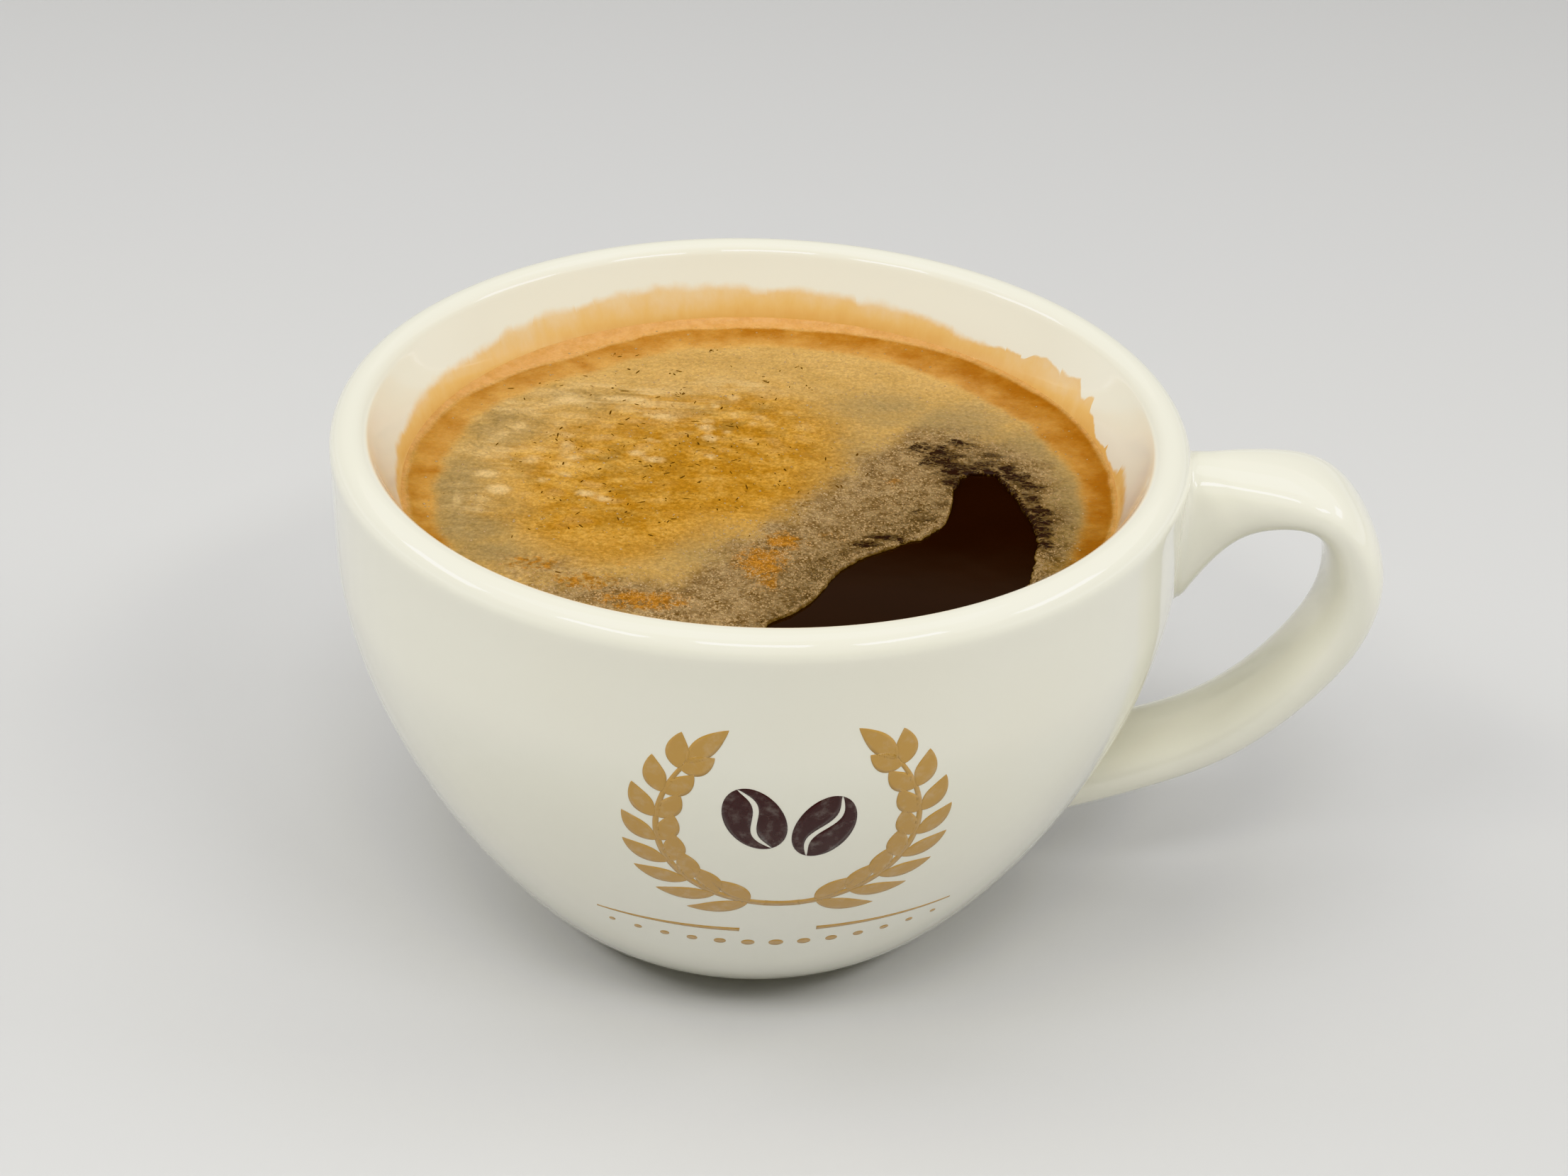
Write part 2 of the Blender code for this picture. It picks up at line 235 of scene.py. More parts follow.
class CupSettings(bpy.types.PropertyGroup):
    """Sizes and colours of the cup."""

    rim_inset: length_property("Rim inset", "From the widest wall in to the crest of the rim", 2.4 * MM)
    rim_inner_round: length_property("Rim inner round", "Rounding from the crest into the cup", 2.1 * MM)
    wall_inset: length_property("Wall inset", "How far the wall draws in under the rim", 0.05 * MM)
    straight_bottom: length_property("Straight wall", "Height where the upright wall begins", 49.0 * MM)
    throat_radius: length_property("Throat", "Inner radius where the flare of the lip ends", 39.6 * MM)
    throat_height: length_property("Throat height", "Height where the flare of the lip ends", 50.0 * MM)
    floor_height: length_property("Floor", "Height of the hollow's floor", 8.5 * MM)
    foot_radius: length_property("Foot", "Outer radius of the foot ring", 22.4 * MM)
    foot_width: length_property("Foot width", "Width of the foot ring", 3.8 * MM)
    foot_recess: length_property("Foot recess", "Depth of the recess under the cup", 1.5 * MM)
    handle_fillet: length_property("Handle fillet", "Glaze fillet where the handle meets the wall", 0.8 * MM)
    columns: IntProperty(name="Columns", description="Faces around the cup", default=320, min=24)
    glaze: colour_property("Glaze", "Warm white of the glaze", (0.84, 0.825, 0.71))
    biscuit: colour_property("Biscuit", "Bare clay under the foot ring", (0.62, 0.56, 0.47))
    stain: colour_property("Stain", "Thin coffee stain on the inner wall", srgb(232, 194, 126))
    stain_wet: colour_property("Wet stain", "Stain just over the crema", srgb(224, 176, 104))


class DrinkSettings(bpy.types.PropertyGroup):
    """Sizes and colours of the coffee and its crema."""

    liquid_drop: length_property("Liquid drop", "From the crema's top down to the bare coffee", 0.45 * MM)
    crema_depth: length_property("Crema depth", "Thickness of the foam layer", 1.0 * MM)
    climb: length_property("Climb", "How far the foam climbs the wall", 0.5 * MM)
    reach: length_property("Reach", "How far the drink runs into the wall", 0.15 * MM)
    columns: IntProperty(name="Columns", description="Faces around the opening", default=840, min=60)
    coffee: colour_property("Coffee", "Black coffee", (0.0085, 0.0024, 0.0009))
    foam: colour_property("Foam", "Tan foam", srgb(196, 158, 94))
    gold: colour_property("Gold", "Golden foam in the middle", srgb(168, 116, 34))
    orange: colour_property("Orange", "Ring near the wall at its darkest", srgb(154, 94, 22))
    orange_light: colour_property("Light orange", "Inner edge of the ring", srgb(200, 154, 84))
    peach: colour_property("Peach", "Wet foam that climbs the wall", srgb(200, 150, 88))
    grey: colour_property("Grey", "Thin greyish foam", srgb(156, 131, 86))
    island: colour_property("Island", "Pale islands and streaks", srgb(216, 184, 128))
    froth: colour_property("Froth", "Fine light froth by the opening", srgb(164, 137, 97))
    froth_shade: colour_property("Froth shade", "Shade between its bubbles", srgb(104, 78, 46))
    brown: colour_property("Brown", "Brown speckled patches", srgb(180, 122, 46))
    bubbles: IntProperty(name="Bubbles", description="Small bubbles on the foam", default=7600, min=0)


class PrintSettings(bpy.types.PropertyGroup):
    """Place and colours of the plain ornament on the front."""

    azimuth: angle_property("Azimuth", "Middle of the ornament round the cup", -83.0)
    height: length_property("Height", "Height of the ornament's middle", 40.5 * MM)
    size: FloatProperty(name="Size", description="Scale of the ornament", default=1.3, min=0.1)
    lift: length_property("Lift", "How far the print stands off the glaze", 0.03 * MM)
    gold: colour_property("Gold", "Satin gold of the leaves", srgb(190, 150, 82))
    dark: colour_property("Dark", "Dark brown of the beans", srgb(56, 22, 22))


class StudioSettings(bpy.types.PropertyGroup):
    """Camera, lights and floor."""

    distance: length_property("Distance", "From the camera to the middle of the rim", 280.0 * MM)
    elevation: angle_property("Elevation", "Camera's height over the horizon", 28.57)
    azimuth: angle_property("Azimuth", "Camera's turn round the cup from -Y", 2.0)
    pan: angle_property("Pan", "Turn to the right", 0.63)
    tilt: angle_property("Tilt", "Turn upwards", -3.56)
    roll: angle_property("Roll", "Turn about the view", 1.91)
    lens: FloatProperty(name="Lens", description="Focal length on a 36 mm sensor", default=56.96)
    aim_height: length_property("Aim height", "Height of the rim's widest ring", 60.48 * MM)
    floor: colour_property("Floor", "Pale floor", (0.60, 0.60, 0.595))


# Curves and outlines

def bezier(start, pull_start, pull_end, end, steps):
    """Points of one cubic Bezier, (1-t)^3 a + 3(1-t)^2 t b + 3(1-t)t^2 c + t^3 d, ends included."""
    t = np.linspace(0.0, 1.0, steps + 1)[:, None]
    a, b, c, d = (np.asarray(p, dtype=float) for p in (start, pull_start, pull_end, end))
    return (1 - t) ** 3 * a + 3 * (1 - t) ** 2 * t * b + 3 * (1 - t) * t ** 2 * c + t ** 3 * d


def arc(centre, radius, first, last, steps):
    """Points of a circular arc between two angles from +X: centre + radius (cos, sin)."""
    angle = np.linspace(first, last, steps + 1)
    return np.stack([centre[0] + radius * np.cos(angle), centre[1] + radius * np.sin(angle)], axis=1)


def joined(*runs):
    """One outline from runs that start where the last one ended."""
    points = [np.asarray(runs[0], dtype=float)]
    for run in runs[1:]:
        run = np.asarray(run, dtype=float)
        skip = 1 if np.allclose(points[-1][-1], run[0], atol=0.01 * MM) else 0
        points.append(run[skip:])
    return np.concatenate(points)


def smooth_through(values, count):
    """A natural cubic spline through rows of values, spaced by the chords between them, read at
    count even steps. The second derivatives solve the usual three-term equations."""
    values = np.asarray(values, dtype=float)
    last = len(values) - 1
    chord = np.linalg.norm(np.diff(values, axis=0), axis=1)
    knot = np.concatenate([[0.0], np.cumsum(chord)])
    slope = np.diff(values, axis=0) / chord[:, None]
    matrix = np.eye(last + 1)
    right = np.zeros_like(values)
    for i in range(1, last):
        matrix[i, i - 1:i + 2] = (chord[i - 1], 2.0 * (chord[i - 1] + chord[i]), chord[i])
        right[i] = 6.0 * (slope[i] - slope[i - 1])
    bend = np.linalg.solve(matrix, right)
    at = np.linspace(0.0, knot[-1], count)
    low = np.minimum(np.searchsorted(knot, at, side="right") - 1, last - 1)
    step = chord[low][:, None]
    t = (at - knot[low])[:, None] / step
    s = 1.0 - t
    return (s * values[low] + t * values[low + 1]
            + step ** 2 * ((s ** 3 - s) * bend[low] + (t ** 3 - t) * bend[low + 1]) / 6.0)


def round_the_cup(table, azimuth):
    """Values of a table of (degrees, value) at azimuths in radians, eased between its rows by
    3t^2 - 2t^3 and closed after a full turn."""
    degrees = np.array([row[0] for row in table] + [table[0][0] + 360.0])
    level = np.array([row[1] for row in table] + [table[0][1]])
    at = np.mod(np.degrees(azimuth) - degrees[0], 360.0) + degrees[0]
    low = np.clip(np.searchsorted(degrees, at, side="right") - 1, 0, len(degrees) - 2)
    t = (at - degrees[low]) / (degrees[low + 1] - degrees[low])
    t = t * t * (3.0 - 2.0 * t)
    return level[low] * (1.0 - t) + level[low + 1] * t


def cloud(x, y, size, seed):
    """Smooth noise from -1 to 1: random values on a grid size apart, turned by an angle of its own,
    eased between the nearest four by 3t^2 - 2t^3."""
    cells = 128
    turn = 0.6 + 1.3 * seed
    x, y = x * math.cos(turn) - y * math.sin(turn), x * math.sin(turn) + y * math.cos(turn)
    table = np.random.default_rng(seed).uniform(-1.0, 1.0, (cells, cells))
    column, row = np.floor(x / size), np.floor(y / size)
    fx, fy = x / size - column, y / size - row
    fx, fy = fx * fx * (3 - 2 * fx), fy * fy * (3 - 2 * fy)
    i, j = column.astype(int) % cells, row.astype(int) % cells
    k, m = (i + 1) % cells, (j + 1) % cells
    return ((table[i, j] * (1 - fx) + table[k, j] * fx) * (1 - fy)
            + (table[i, m] * (1 - fx) + table[k, m] * fx) * fy)


def step_up(low, high, value):
    """0 under low, 1 over high, and 3t^2 - 2t^3 between them."""
    t = np.clip((value - low) / (high - low), 0.0, 1.0)
    return t * t * (3.0 - 2.0 * t)


def blob(x, y, spots):
    """The strongest of several soft round spots, each (x, y, reach across, reach deep, strength)."""
    level = np.zeros_like(x)
    for sx, sy, across, deep, strength in spots:
        far = ((x - sx) / across) ** 2 + ((y - sy) / deep) ** 2
        level = np.maximum(level, strength * np.exp(-far))
    return level


def hollow_outline(cup):
    """The cup's inside as (radius, height), from the floor's middle up to the crest of the rim: two
    Beziers and an arc that runs on from them."""
    crest = CUP_RADIUS - cup.rim_inset
    rounding = arc((crest, CUP_HEIGHT - cup.rim_inner_round), cup.rim_inner_round,
                   math.pi / 2 + RIM_TURN, math.pi / 2, RIM_STEPS)
    lip = rounding[0]
    pull = 5.0 * MM
    throat = (cup.throat_radius, cup.throat_height)
    flare = bezier(throat, (throat[0], throat[1] + pull),
                   lip - pull * np.array([math.cos(RIM_TURN), math.sin(RIM_TURN)]), lip, 26)
    floor_pull, side_pull = (33.0 * MM, cup.floor_height), (39.5 * MM, 26.0 * MM)
    bowl = bezier((0.0, cup.floor_height), floor_pull, side_pull, throat, 24)
    return joined(bowl, flare, rounding)


def outer_outline(cup):
    """The cup's outside as (radius, height), from the crest of the rim down to the foot ring's top."""
    crest = CUP_RADIUS - cup.rim_inset
    rim = arc((crest, CUP_HEIGHT - cup.rim_inset), cup.rim_inset, math.pi / 2, 0.0, RIM_STEPS)
    upright = CUP_RADIUS - cup.wall_inset
    inset_height = 57.0 * MM
    wall = bezier((CUP_RADIUS, CUP_HEIGHT - cup.rim_inset), (CUP_RADIUS, 60.0 * MM), (upright, 59.0 * MM),
                  (upright, inset_height), 6)
    wall = joined(wall, [(upright, z) for z in np.linspace(inset_height, cup.straight_bottom, 6)])
    bowl = bezier((upright, cup.straight_bottom), (upright, 29.0 * MM), (29.0 * MM, 1.6 * MM), BOWL_END, 56)
    return joined(rim, wall, bowl)


def foot_outline(cup):
    """The foot as (radius, height): a concave run under the bowl, the rounded ring and the recess."""
    outer, inner = cup.foot_radius, cup.foot_radius - cup.foot_width
    bevel = 0.5 * MM
    neck = bezier(BOWL_END, (23.3 * MM, 1.72 * MM), (22.95 * MM, 1.3 * MM), (outer + bevel, bevel), 6)
    low_outer = arc((outer, bevel), bevel, 0.0, -math.pi / 2, 5)
    low_inner = arc((inner, bevel), bevel, -math.pi / 2, -math.pi, 5)
    recess = bezier((inner - bevel, bevel), (inner - bevel, cup.foot_recess),
                    (inner - 2.5 * bevel, cup.foot_recess), (inner - 6 * bevel, cup.foot_recess), 8)
    return joined(neck, low_outer, low_inner, recess, [(9.0 * MM, cup.foot_recess), (0.0, cup.foot_recess)])


# Meshes

def grid_faces(rows, columns):
    """Quads of a grid whose columns close into a ring and whose rows don't."""
    i, j = np.meshgrid(np.arange(rows - 1), np.arange(columns), indexing="ij")
    k = (j + 1) % columns
    a, b = i * columns, (i + 1) * columns
    return np.stack([a + j, a + k, b + k, b + j], axis=-1).reshape(-1, 4)


def sheet_faces(rows, columns):
    """Quads of an open grid."""
    i, j = np.meshgrid(np.arange(rows - 1), np.arange(columns - 1), indexing="ij")
    a = i * columns + j
    return np.stack([a, a + 1, a + columns + 1, a + columns], axis=-1).reshape(-1, 4)


def fan(pole, ring, flip=False):
    """Triangles between one pole point and a closed ring of points."""
    following = np.roll(ring, -1)
    pole = np.full_like(ring, pole)
    order = [pole, following, ring] if flip else [pole, ring, following]
    return np.stack(order, axis=-1)


def loft_faces(rows, columns):
    """Faces of a closed loft: its rings, and a fan at each end round the two pole points that follow
    the rings in the list of points."""
    ring = np.arange(columns)
    pole = rows * columns
    return [grid_faces(rows, columns)[:, ::-1], fan(pole, ring),
            fan(pole + 1, ring + (rows - 1) * columns, flip=True)]


def new_piece(name, points, faces, material, values=None):
    """A smooth mesh object that rides on the cup's body. faces is a list of arrays of quads or triangles,
    and values holds one number per point for each named attribute."""
    mesh = bpy.data.meshes.new(name)
    rows = [row for block in faces for row in block.tolist()]
    mesh.from_pydata(np.asarray(points, dtype=float).tolist(), [], rows)
    for label, numbers in (values or {}).items():
        layer = mesh.attributes.new(label, "FLOAT", "POINT")
        layer.data.foreach_set("value", np.asarray(numbers, dtype=np.float32).ravel())
    mesh.polygons.foreach_set("use_smooth", np.ones(len(mesh.polygons), dtype=bool))
    mesh.materials.append(material)
    mesh.validate()
    mesh.update()
    piece = bpy.data.objects.new(name, mesh)
    bpy.context.scene.collection.objects.link(piece)
    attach(piece, "root")
    return piece


def turned_grid(outline, columns):
    """Points of an outline turned about the cup's axis: (axis + r cos a, r sin a, z)."""
    angle = np.linspace(0.0, 2.0 * math.pi, columns, endpoint=False)
    r, z = outline[:, 0][:, None], outline[:, 1][:, None]
    x = AXIS_X + r * np.cos(angle)
    y = r * np.sin(angle)
    return np.stack([x, y, np.broadcast_to(z, x.shape)], axis=-1).reshape(-1, 3)


# Materials

class Nodes:
    """A short way to write a material's node tree."""

    def __init__(self, name):
        self.material = bpy.data.materials.new(name)
        self.material.use_nodes = True
        self.tree = self.material.node_tree
        self.shader = self.tree.nodes["Principled BSDF"]
        self.place = self.add("ShaderNodeTexCoord").outputs["Object"]

    def add(self, kind, **settings):
        """A node with some of its settings."""
        node = self.tree.nodes.new(kind)
        for key, value in settings.items():
            setattr(node, key, value)
        return node

    def feed(self, socket, value):
        """Link an output to a socket, or write a plain value on it."""
        if isinstance(value, bpy.types.NodeSocket):
            self.tree.links.new(value, socket)
        elif hasattr(value, "__len__") and len(value) == 3 and socket.type == "RGBA":
            socket.default_value = (*value, 1.0)
        else:
            socket.default_value = value

    def attribute(self, name):
        """A number stored on the mesh."""
        return self.add("ShaderNodeAttribute", attribute_name=name).outputs["Fac"]

    def maths(self, operation, first, second=0.0, clamp=False):
        """One step of arithmetic."""
        node = self.add("ShaderNodeMath", operation=operation, use_clamp=clamp)
        self.feed(node.inputs[0], first)
        self.feed(node.inputs[1], second)
        return node.outputs[0]

    def swing(self, value, amount):
        """A value of 0 to 1 as a swing of plus and minus half the amount."""
        return self.maths("MULTIPLY", self.maths("SUBTRACT", value, 0.5), amount)

    def total(self, first, *others):
        """The sum of several values."""
        for value in others:
            first = self.maths("ADD", first, value)
        return first

    def product(self, first, *others):
        """The product of several values."""
        for value in others:
            first = self.maths("MULTIPLY", first, value)
        return first

    def ramp(self, value, low, high, bottom=0.0, top=1.0):
        """value moved from low..high to bottom..top with eased ends."""
        node = self.add("ShaderNodeMapRange", interpolation_type="SMOOTHSTEP")
        for key, item in (("Value", value), ("From Min", low), ("From Max", high), ("To Min", bottom),
                          ("To Max", top)):
            self.feed(node.inputs[key], item)
        return node.outputs["Result"]

    def mix(self, factor, first, second):
        """A blend of two colours."""
        node = self.add("ShaderNodeMix", data_type="RGBA")
        self.feed(node.inputs["Factor"], factor)
        self.feed(node.inputs[6], first)
        self.feed(node.inputs[7], second)
        return node.outputs[2]

    def moved(self, scale, turn=0.0):
        """Object coordinates stretched along X, Y and Z, after a turn about Z."""
        node = self.add("ShaderNodeMapping")
        self.feed(node.inputs["Vector"], self.place)
        node.inputs["Scale"].default_value = scale
        node.inputs["Rotation"].default_value = (0.0, 0.0, turn)
        return node.outputs["Vector"]

    def from_axis(self, keep):
        """The direction from the cup's axis as a unit vector, plus the place in units of the crema's
        radius times keep, so that a pattern on it runs along the radii."""
        centred = self.add("ShaderNodeMapping")
        self.feed(centred.inputs["Vector"], self.place)
        centred.inputs["Location"].default_value = (-AXIS_X / CREMA_RADIUS, 0.0, 0.0)
        centred.inputs["Scale"].default_value = (1.0 / CREMA_RADIUS, 1.0 / CREMA_RADIUS, 0.0)
        unit = self.add("ShaderNodeVectorMath", operation="NORMALIZE")
        self.feed(unit.inputs[0], centred.outputs["Vector"])
        mixed = self.add("ShaderNodeVectorMath", operation="MULTIPLY_ADD")
        self.feed(mixed.inputs[0], centred.outputs["Vector"])
        mixed.inputs[1].default_value = (keep, keep, keep)
        self.feed(mixed.inputs[2], unit.outputs["Vector"])
        return mixed.outputs["Vector"]

    def noise(self, scale, detail=3.0, roughness=0.5, vector=None, distortion=0.0):
        """Blender's noise, 0 to 1."""
        node = self.add("ShaderNodeTexNoise")
        self.feed(node.inputs["Vector"], vector or self.place)
        for key, value in (("Scale", scale), ("Detail", detail), ("Roughness", roughness),
                           ("Distortion", distortion)):
            node.inputs[key].default_value = value
        return node.outputs["Fac"]

    def cells(self, scale, vector=None, feature="F1", output="Distance"):
        """Blender's Voronoi cells."""
        node = self.add("ShaderNodeTexVoronoi", feature=feature)
        self.feed(node.inputs["Vector"], vector or self.place)
        node.inputs["Scale"].default_value = scale
        return node.outputs[output]

    def bump(self, height, strength, distance):
        """A bump that feeds the shader's normal."""
        node = self.add("ShaderNodeBump")
        self.feed(node.inputs["Height"], height)
        node.inputs["Strength"].default_value = strength
        node.inputs["Distance"].default_value = distance
        self.feed(self.shader.inputs["Normal"], node.outputs["Normal"])

    def finish(self, **sockets):
        """Write the shader's own sockets and return the material."""
        for key, value in sockets.items():
            self.feed(self.shader.inputs[key.replace("_", " ")], value)
        return self.material


def glaze_ripple(n):
    """The glaze's soft unevenness, on the bare glaze and on the print under it."""
    n.bump(n.noise(55.0, 2.0, 0.4), 0.05, 0.6 * MM)


def glaze_material(cup):
    """Warm white glossy glaze: faint unevenness of tone, rare grey pinholes, a soft ripple in the
    surface, bare clay under the foot, and the coffee's stain where the wall's attributes say so."""
    n = Nodes("glaze_warm_white")
    white = cup.glaze
    body = n.mix(n.ramp(n.noise(26.0, 2.0), 0.35, 0.75, 0.0, 0.5), white, scaled(white, (0.985, 0.97, 0.93)))
    pinhole = n.product(n.ramp(n.cells(130.0), 0.05, 0.10, 1.0, 0.0), n.ramp(n.noise(60.0), 0.60, 0.66), 0.2)
    body = n.mix(pinhole, body, (0.42, 0.38, 0.32))

    # The stain's depth is in mm under its upper edge. Noise frays the edge, and cells that run down
    # the wall give it steps with upright sides
    runs = n.cells(190.0, n.moved((1.0, 1.0, 0.02)), output="Color")
    streaks = n.noise(700.0, 3.0, 0.6, n.moved((1.0, 1.0, 0.14)))
    frayed = n.total(n.attribute("stain"), n.product(n.swing(runs, 2.4), n.attribute("stain_runs")),
                     n.swing(n.noise(520.0, 3.0, 0.6), 0.9), n.swing(n.noise(170.0, 2.0), 2.2))
    soft = n.ramp(n.attribute("stain_runs"), 0.2, 0.8, 1.0, 0.3)
    film = n.ramp(frayed, n.product(soft, -0.7), n.product(soft, 0.6))
    dried = n.product(film, n.ramp(frayed, 0.10, 0.9, 0.16, 0.0), n.attribute("stain_runs"))
    blotch = n.noise(240.0, 4.0, 0.6, n.moved((1.0, 1.0, 0.5)))
    thick = n.ramp(n.total(n.attribute("stain_low"), n.swing(streaks, 0.6), n.swing(blotch, 2.0)),
                   -0.9, 0.7, 0.62, 1.0)
    colour = n.mix(n.product(film, thick), body, cup.stain)
    colour = n.mix(dried, colour, cup.stain_wet)
    wet = n.ramp(n.total(n.attribute("stain_low"), n.swing(streaks, 0.7), n.swing(blotch, 1.2)), 0.25, 1.25,
                 0.0, 0.85)
    colour = n.mix(n.product(film, wet), colour, cup.stain_wet)

    height = n.add("ShaderNodeSeparateXYZ")
    n.feed(height.inputs[0], n.place)
    bare = n.ramp(height.outputs["Z"], 0.10 * MM, 0.45 * MM, 1.0, 0.0)
    colour = n.mix(bare, colour, n.mix(n.noise(900.0, 3.0), cup.biscuit, white))
    glaze_ripple(n)
    return n.finish(Base_Color=colour, Roughness=n.ramp(bare, 0.0, 1.0, 0.07, 0.75), IOR=GLAZE_IOR,
                    Coat_Weight=0.3, Coat_Roughness=0.02)


def coffee_material(drink):
    """Black coffee: almost black with a red-brown cast, and a mirror-smooth surface."""
    n = Nodes("coffee_black")
    colour = n.mix(n.noise(90.0, 2.0), drink.coffee, scaled(drink.coffee, (1.7, 1.7, 1.7)))
    n.bump(n.noise(120.0, 2.0), 0.03, 0.3 * MM)
    return n.finish(Base_Color=colour, Roughness=0.035, IOR=COFFEE_IOR)


def crema_material(drink):
    """Crema: tan foam, mottled gold in the middle, grey where it is thin, a fine froth by the
    opening, speckled brown patches, an orange ring near the wall and a wet peach strip on it. Pale
    islands and streaks float in it, and lace at the opening has bare coffee in its holes."""
    n = Nodes("crema_foam")
    flat = n.moved((0.75, 1.15, 1.0))
    drift = n.noise(260.0, 4.0, 0.6, flat)
    curd = n.noise(640.0, 4.0, 0.62)
    grain = n.noise(1700.0, 3.0, 0.7)
    froth = n.ramp(n.total(n.attribute("froth"), n.swing(curd, 0.8), n.swing(drift, 0.4)), 0.05, 0.95)
    foam = drink.foam

    colour = n.mix(n.ramp(drift, 0.3, 0.7), scaled(foam, (0.86, 0.84, 0.78)), foam)
    grey = n.ramp(n.total(n.attribute("grey"), n.swing(drift, 0.95)), 0.10, 0.90)
    colour = n.mix(grey, colour, drink.grey)

    # Gold, with round paler cells and fine curds in it
    cell = n.product(n.ramp(n.cells(430.0, flat, "SMOOTH_F1"), 0.10, 0.60, 1.0, 0.0), n.attribute("cells"))
    mottle = n.total(-0.06, n.product(cell, 0.7), n.ramp(curd, 0.34, 0.66, 0.0, 0.36),
                     n.ramp(grain, 0.35, 0.65, -0.10, 0.14), n.ramp(drift, 0.38, 0.62, -0.14, 0.40))
    golden = n.mix(n.maths("ADD", mottle, 0.0, clamp=True), drink.gold,
                   scaled(foam, (1.06, 0.97, 0.70)))
    gold = n.ramp(n.total(n.attribute("gold"), n.swing(drift, 0.8), n.swing(curd, 0.4)), 0.05, 0.95)
    colour = n.mix(gold, colour, golden)

    # Froth: light bubbles over brown shade, in clumps, with pale threads
    bubbles = n.ramp(n.cells(2100.0), 0.10, 0.70, 1.0, 0.0)
    clump = n.noise(420.0, 4.0, 0.6)
    light = n.total(0.22, n.product(bubbles, 0.24), n.ramp(grain, 0.30, 0.70, -0.08, 0.22),
                    n.ramp(clump, 0.36, 0.64, -0.12, 0.40))
    frothy = n.mix(n.maths("ADD", light, 0.0, clamp=True), drink.froth_shade, drink.froth)
    thread = n.maths("ABSOLUTE", n.swing(n.noise(760.0, 3.0, 0.55), 1.0))
    thread = n.product(n.ramp(thread, 0.004, 0.026, 1.0, 0.0), n.ramp(n.noise(300.0, 2.0), 0.42, 0.60), 0.5)
    frothy = n.mix(thread, frothy, scaled(drink.island, (0.92, 0.92, 1.0)))
    colour = n.mix(froth, colour, frothy)

    # Curds: each cell of foam is pale in its middle and grey at its borders, with thin dark wrinkles
    # where the foam is not golden, and rust over the brown patches
    border = n.cells(420.0, n.moved((0.75, 1.05, 1.0)), "SMOOTH_F1")
    border = n.total(border, n.swing(curd, 0.6))
    colour = n.mix(n.product(n.ramp(border, 0.42, 0.72), n.attribute("cells"), 0.55), colour,
                   scaled(drink.grey, (0.72, 0.68, 0.55)))
    wrinkle = n.maths("FRACT", n.product(n.noise(150.0, 2.0, 0.5, n.moved((0.8, 1.0, 1.0)), 1.2), 6.0))
    wrinkle = n.ramp(n.maths("ABSOLUTE", n.swing(wrinkle, 1.0)), 0.02, 0.13, 1.0, 0.0)
    thin = n.product(n.attribute("cells"), n.maths("SUBTRACT", 1.0, gold), n.ramp(curd, 0.40, 0.60))
    colour = n.mix(n.product(wrinkle, thin, 0.6), colour, scaled(drink.grey, (0.62, 0.58, 0.45)))
    colour = n.mix(n.product(n.ramp(border, 0.10, 0.42, 1.0, 0.0), n.attribute("cells"), 0.42), colour,
                   drink.island)
    spotted = n.ramp(n.noise(1000.0, 4.0, 0.7), 0.35, 0.65, 0.35, 1.35)
    speckled = n.product(n.attribute("brown"), spotted)
    rust = n.mix(n.ramp(grain, 0.35, 0.65), scaled(drink.brown, (0.62, 0.58, 0.5)), drink.brown)
    colour = n.mix(n.ramp(speckled, 0.25, 0.70, 0.0, 0.85), colour, rust)

    # Pale islands, and streaks that are long across and short in depth
    streak = n.ramp(n.noise(330.0, 3.0, 0.6, n.moved((0.22, 1.25, 1.0))), 0.47, 0.58)
    pale = n.maths("MAXIMUM", n.ramp(n.total(n.attribute("island"), n.swing(curd, 0.6)), 0.20, 0.90),
                   n.product(streak, n.attribute("streak")))
    colour = n.mix(n.product(pale, 0.80), colour, drink.island)

    # Short dark hairs: where one noise crosses its middle and another is high
    hair = n.ramp(n.maths("ABSOLUTE", n.swing(n.noise(900.0, 2.0), 1.0)), 0.004, 0.016, 1.0, 0.0)
    hair = n.product(hair, n.ramp(n.noise(520.0, 3.0, 0.7), 0.50, 0.60), n.attribute("gold"), 0.6)
    colour = n.mix(hair, colour, (0.13, 0.055, 0.012))

    # The ring, darkest at its outer edge, and the wet strip
    radial = n.noise(11.0, 4.0, 0.65, n.from_axis(0.12))
    banded = n.total(n.swing(n.noise(260.0, 4.0, 0.65), 1.6), n.swing(radial, 0.5))
    # The ring's depth is the foam's own darker orange towards the wall, plus painted shade towards +X
    orange = n.mix(n.maths("ADD", n.attribute("ring_depth_and_shade"), banded, clamp=True), drink.orange_light,
                   drink.orange)
    ring = n.ramp(n.total(n.attribute("ring"), n.swing(drift, 0.30), n.swing(radial, 0.5)), 0.12, 0.88)
    colour = n.mix(ring, colour, orange)
    wet = n.total(n.attribute("peach"), n.swing(curd, 0.35), n.swing(radial, 0.6))
    colour = n.mix(n.ramp(wet, 0.15, 0.95), colour,
                   n.mix(n.ramp(curd, 0.35, 0.65), drink.peach, scaled(drink.peach, (1.1, 1.15, 1.3))))

    # Fine bubbles shade the dry foam, and the froth near the opening is darker
    dry = n.maths("SUBTRACT", 1.0, n.maths("MAXIMUM", n.attribute("ring"), n.attribute("peach")))
    speckle = n.total(n.ramp(grain, 0.30, 0.70, -0.16, 0.14), n.ramp(n.cells(2600.0), 0.1, 0.6, 0.06, -0.10))
    speckle = n.product(speckle, n.total(n.product(dry, 0.7), 0.3))
    shade = n.add("ShaderNodeHueSaturation")
    n.feed(shade.inputs["Color"], colour)
    deep = n.product(n.attribute("near"), n.ramp(clump, 0.3, 0.7, 0.50, 0.34))
    n.feed(shade.inputs["Value"], n.maths("SUBTRACT", n.total(speckle, 1.0), deep))

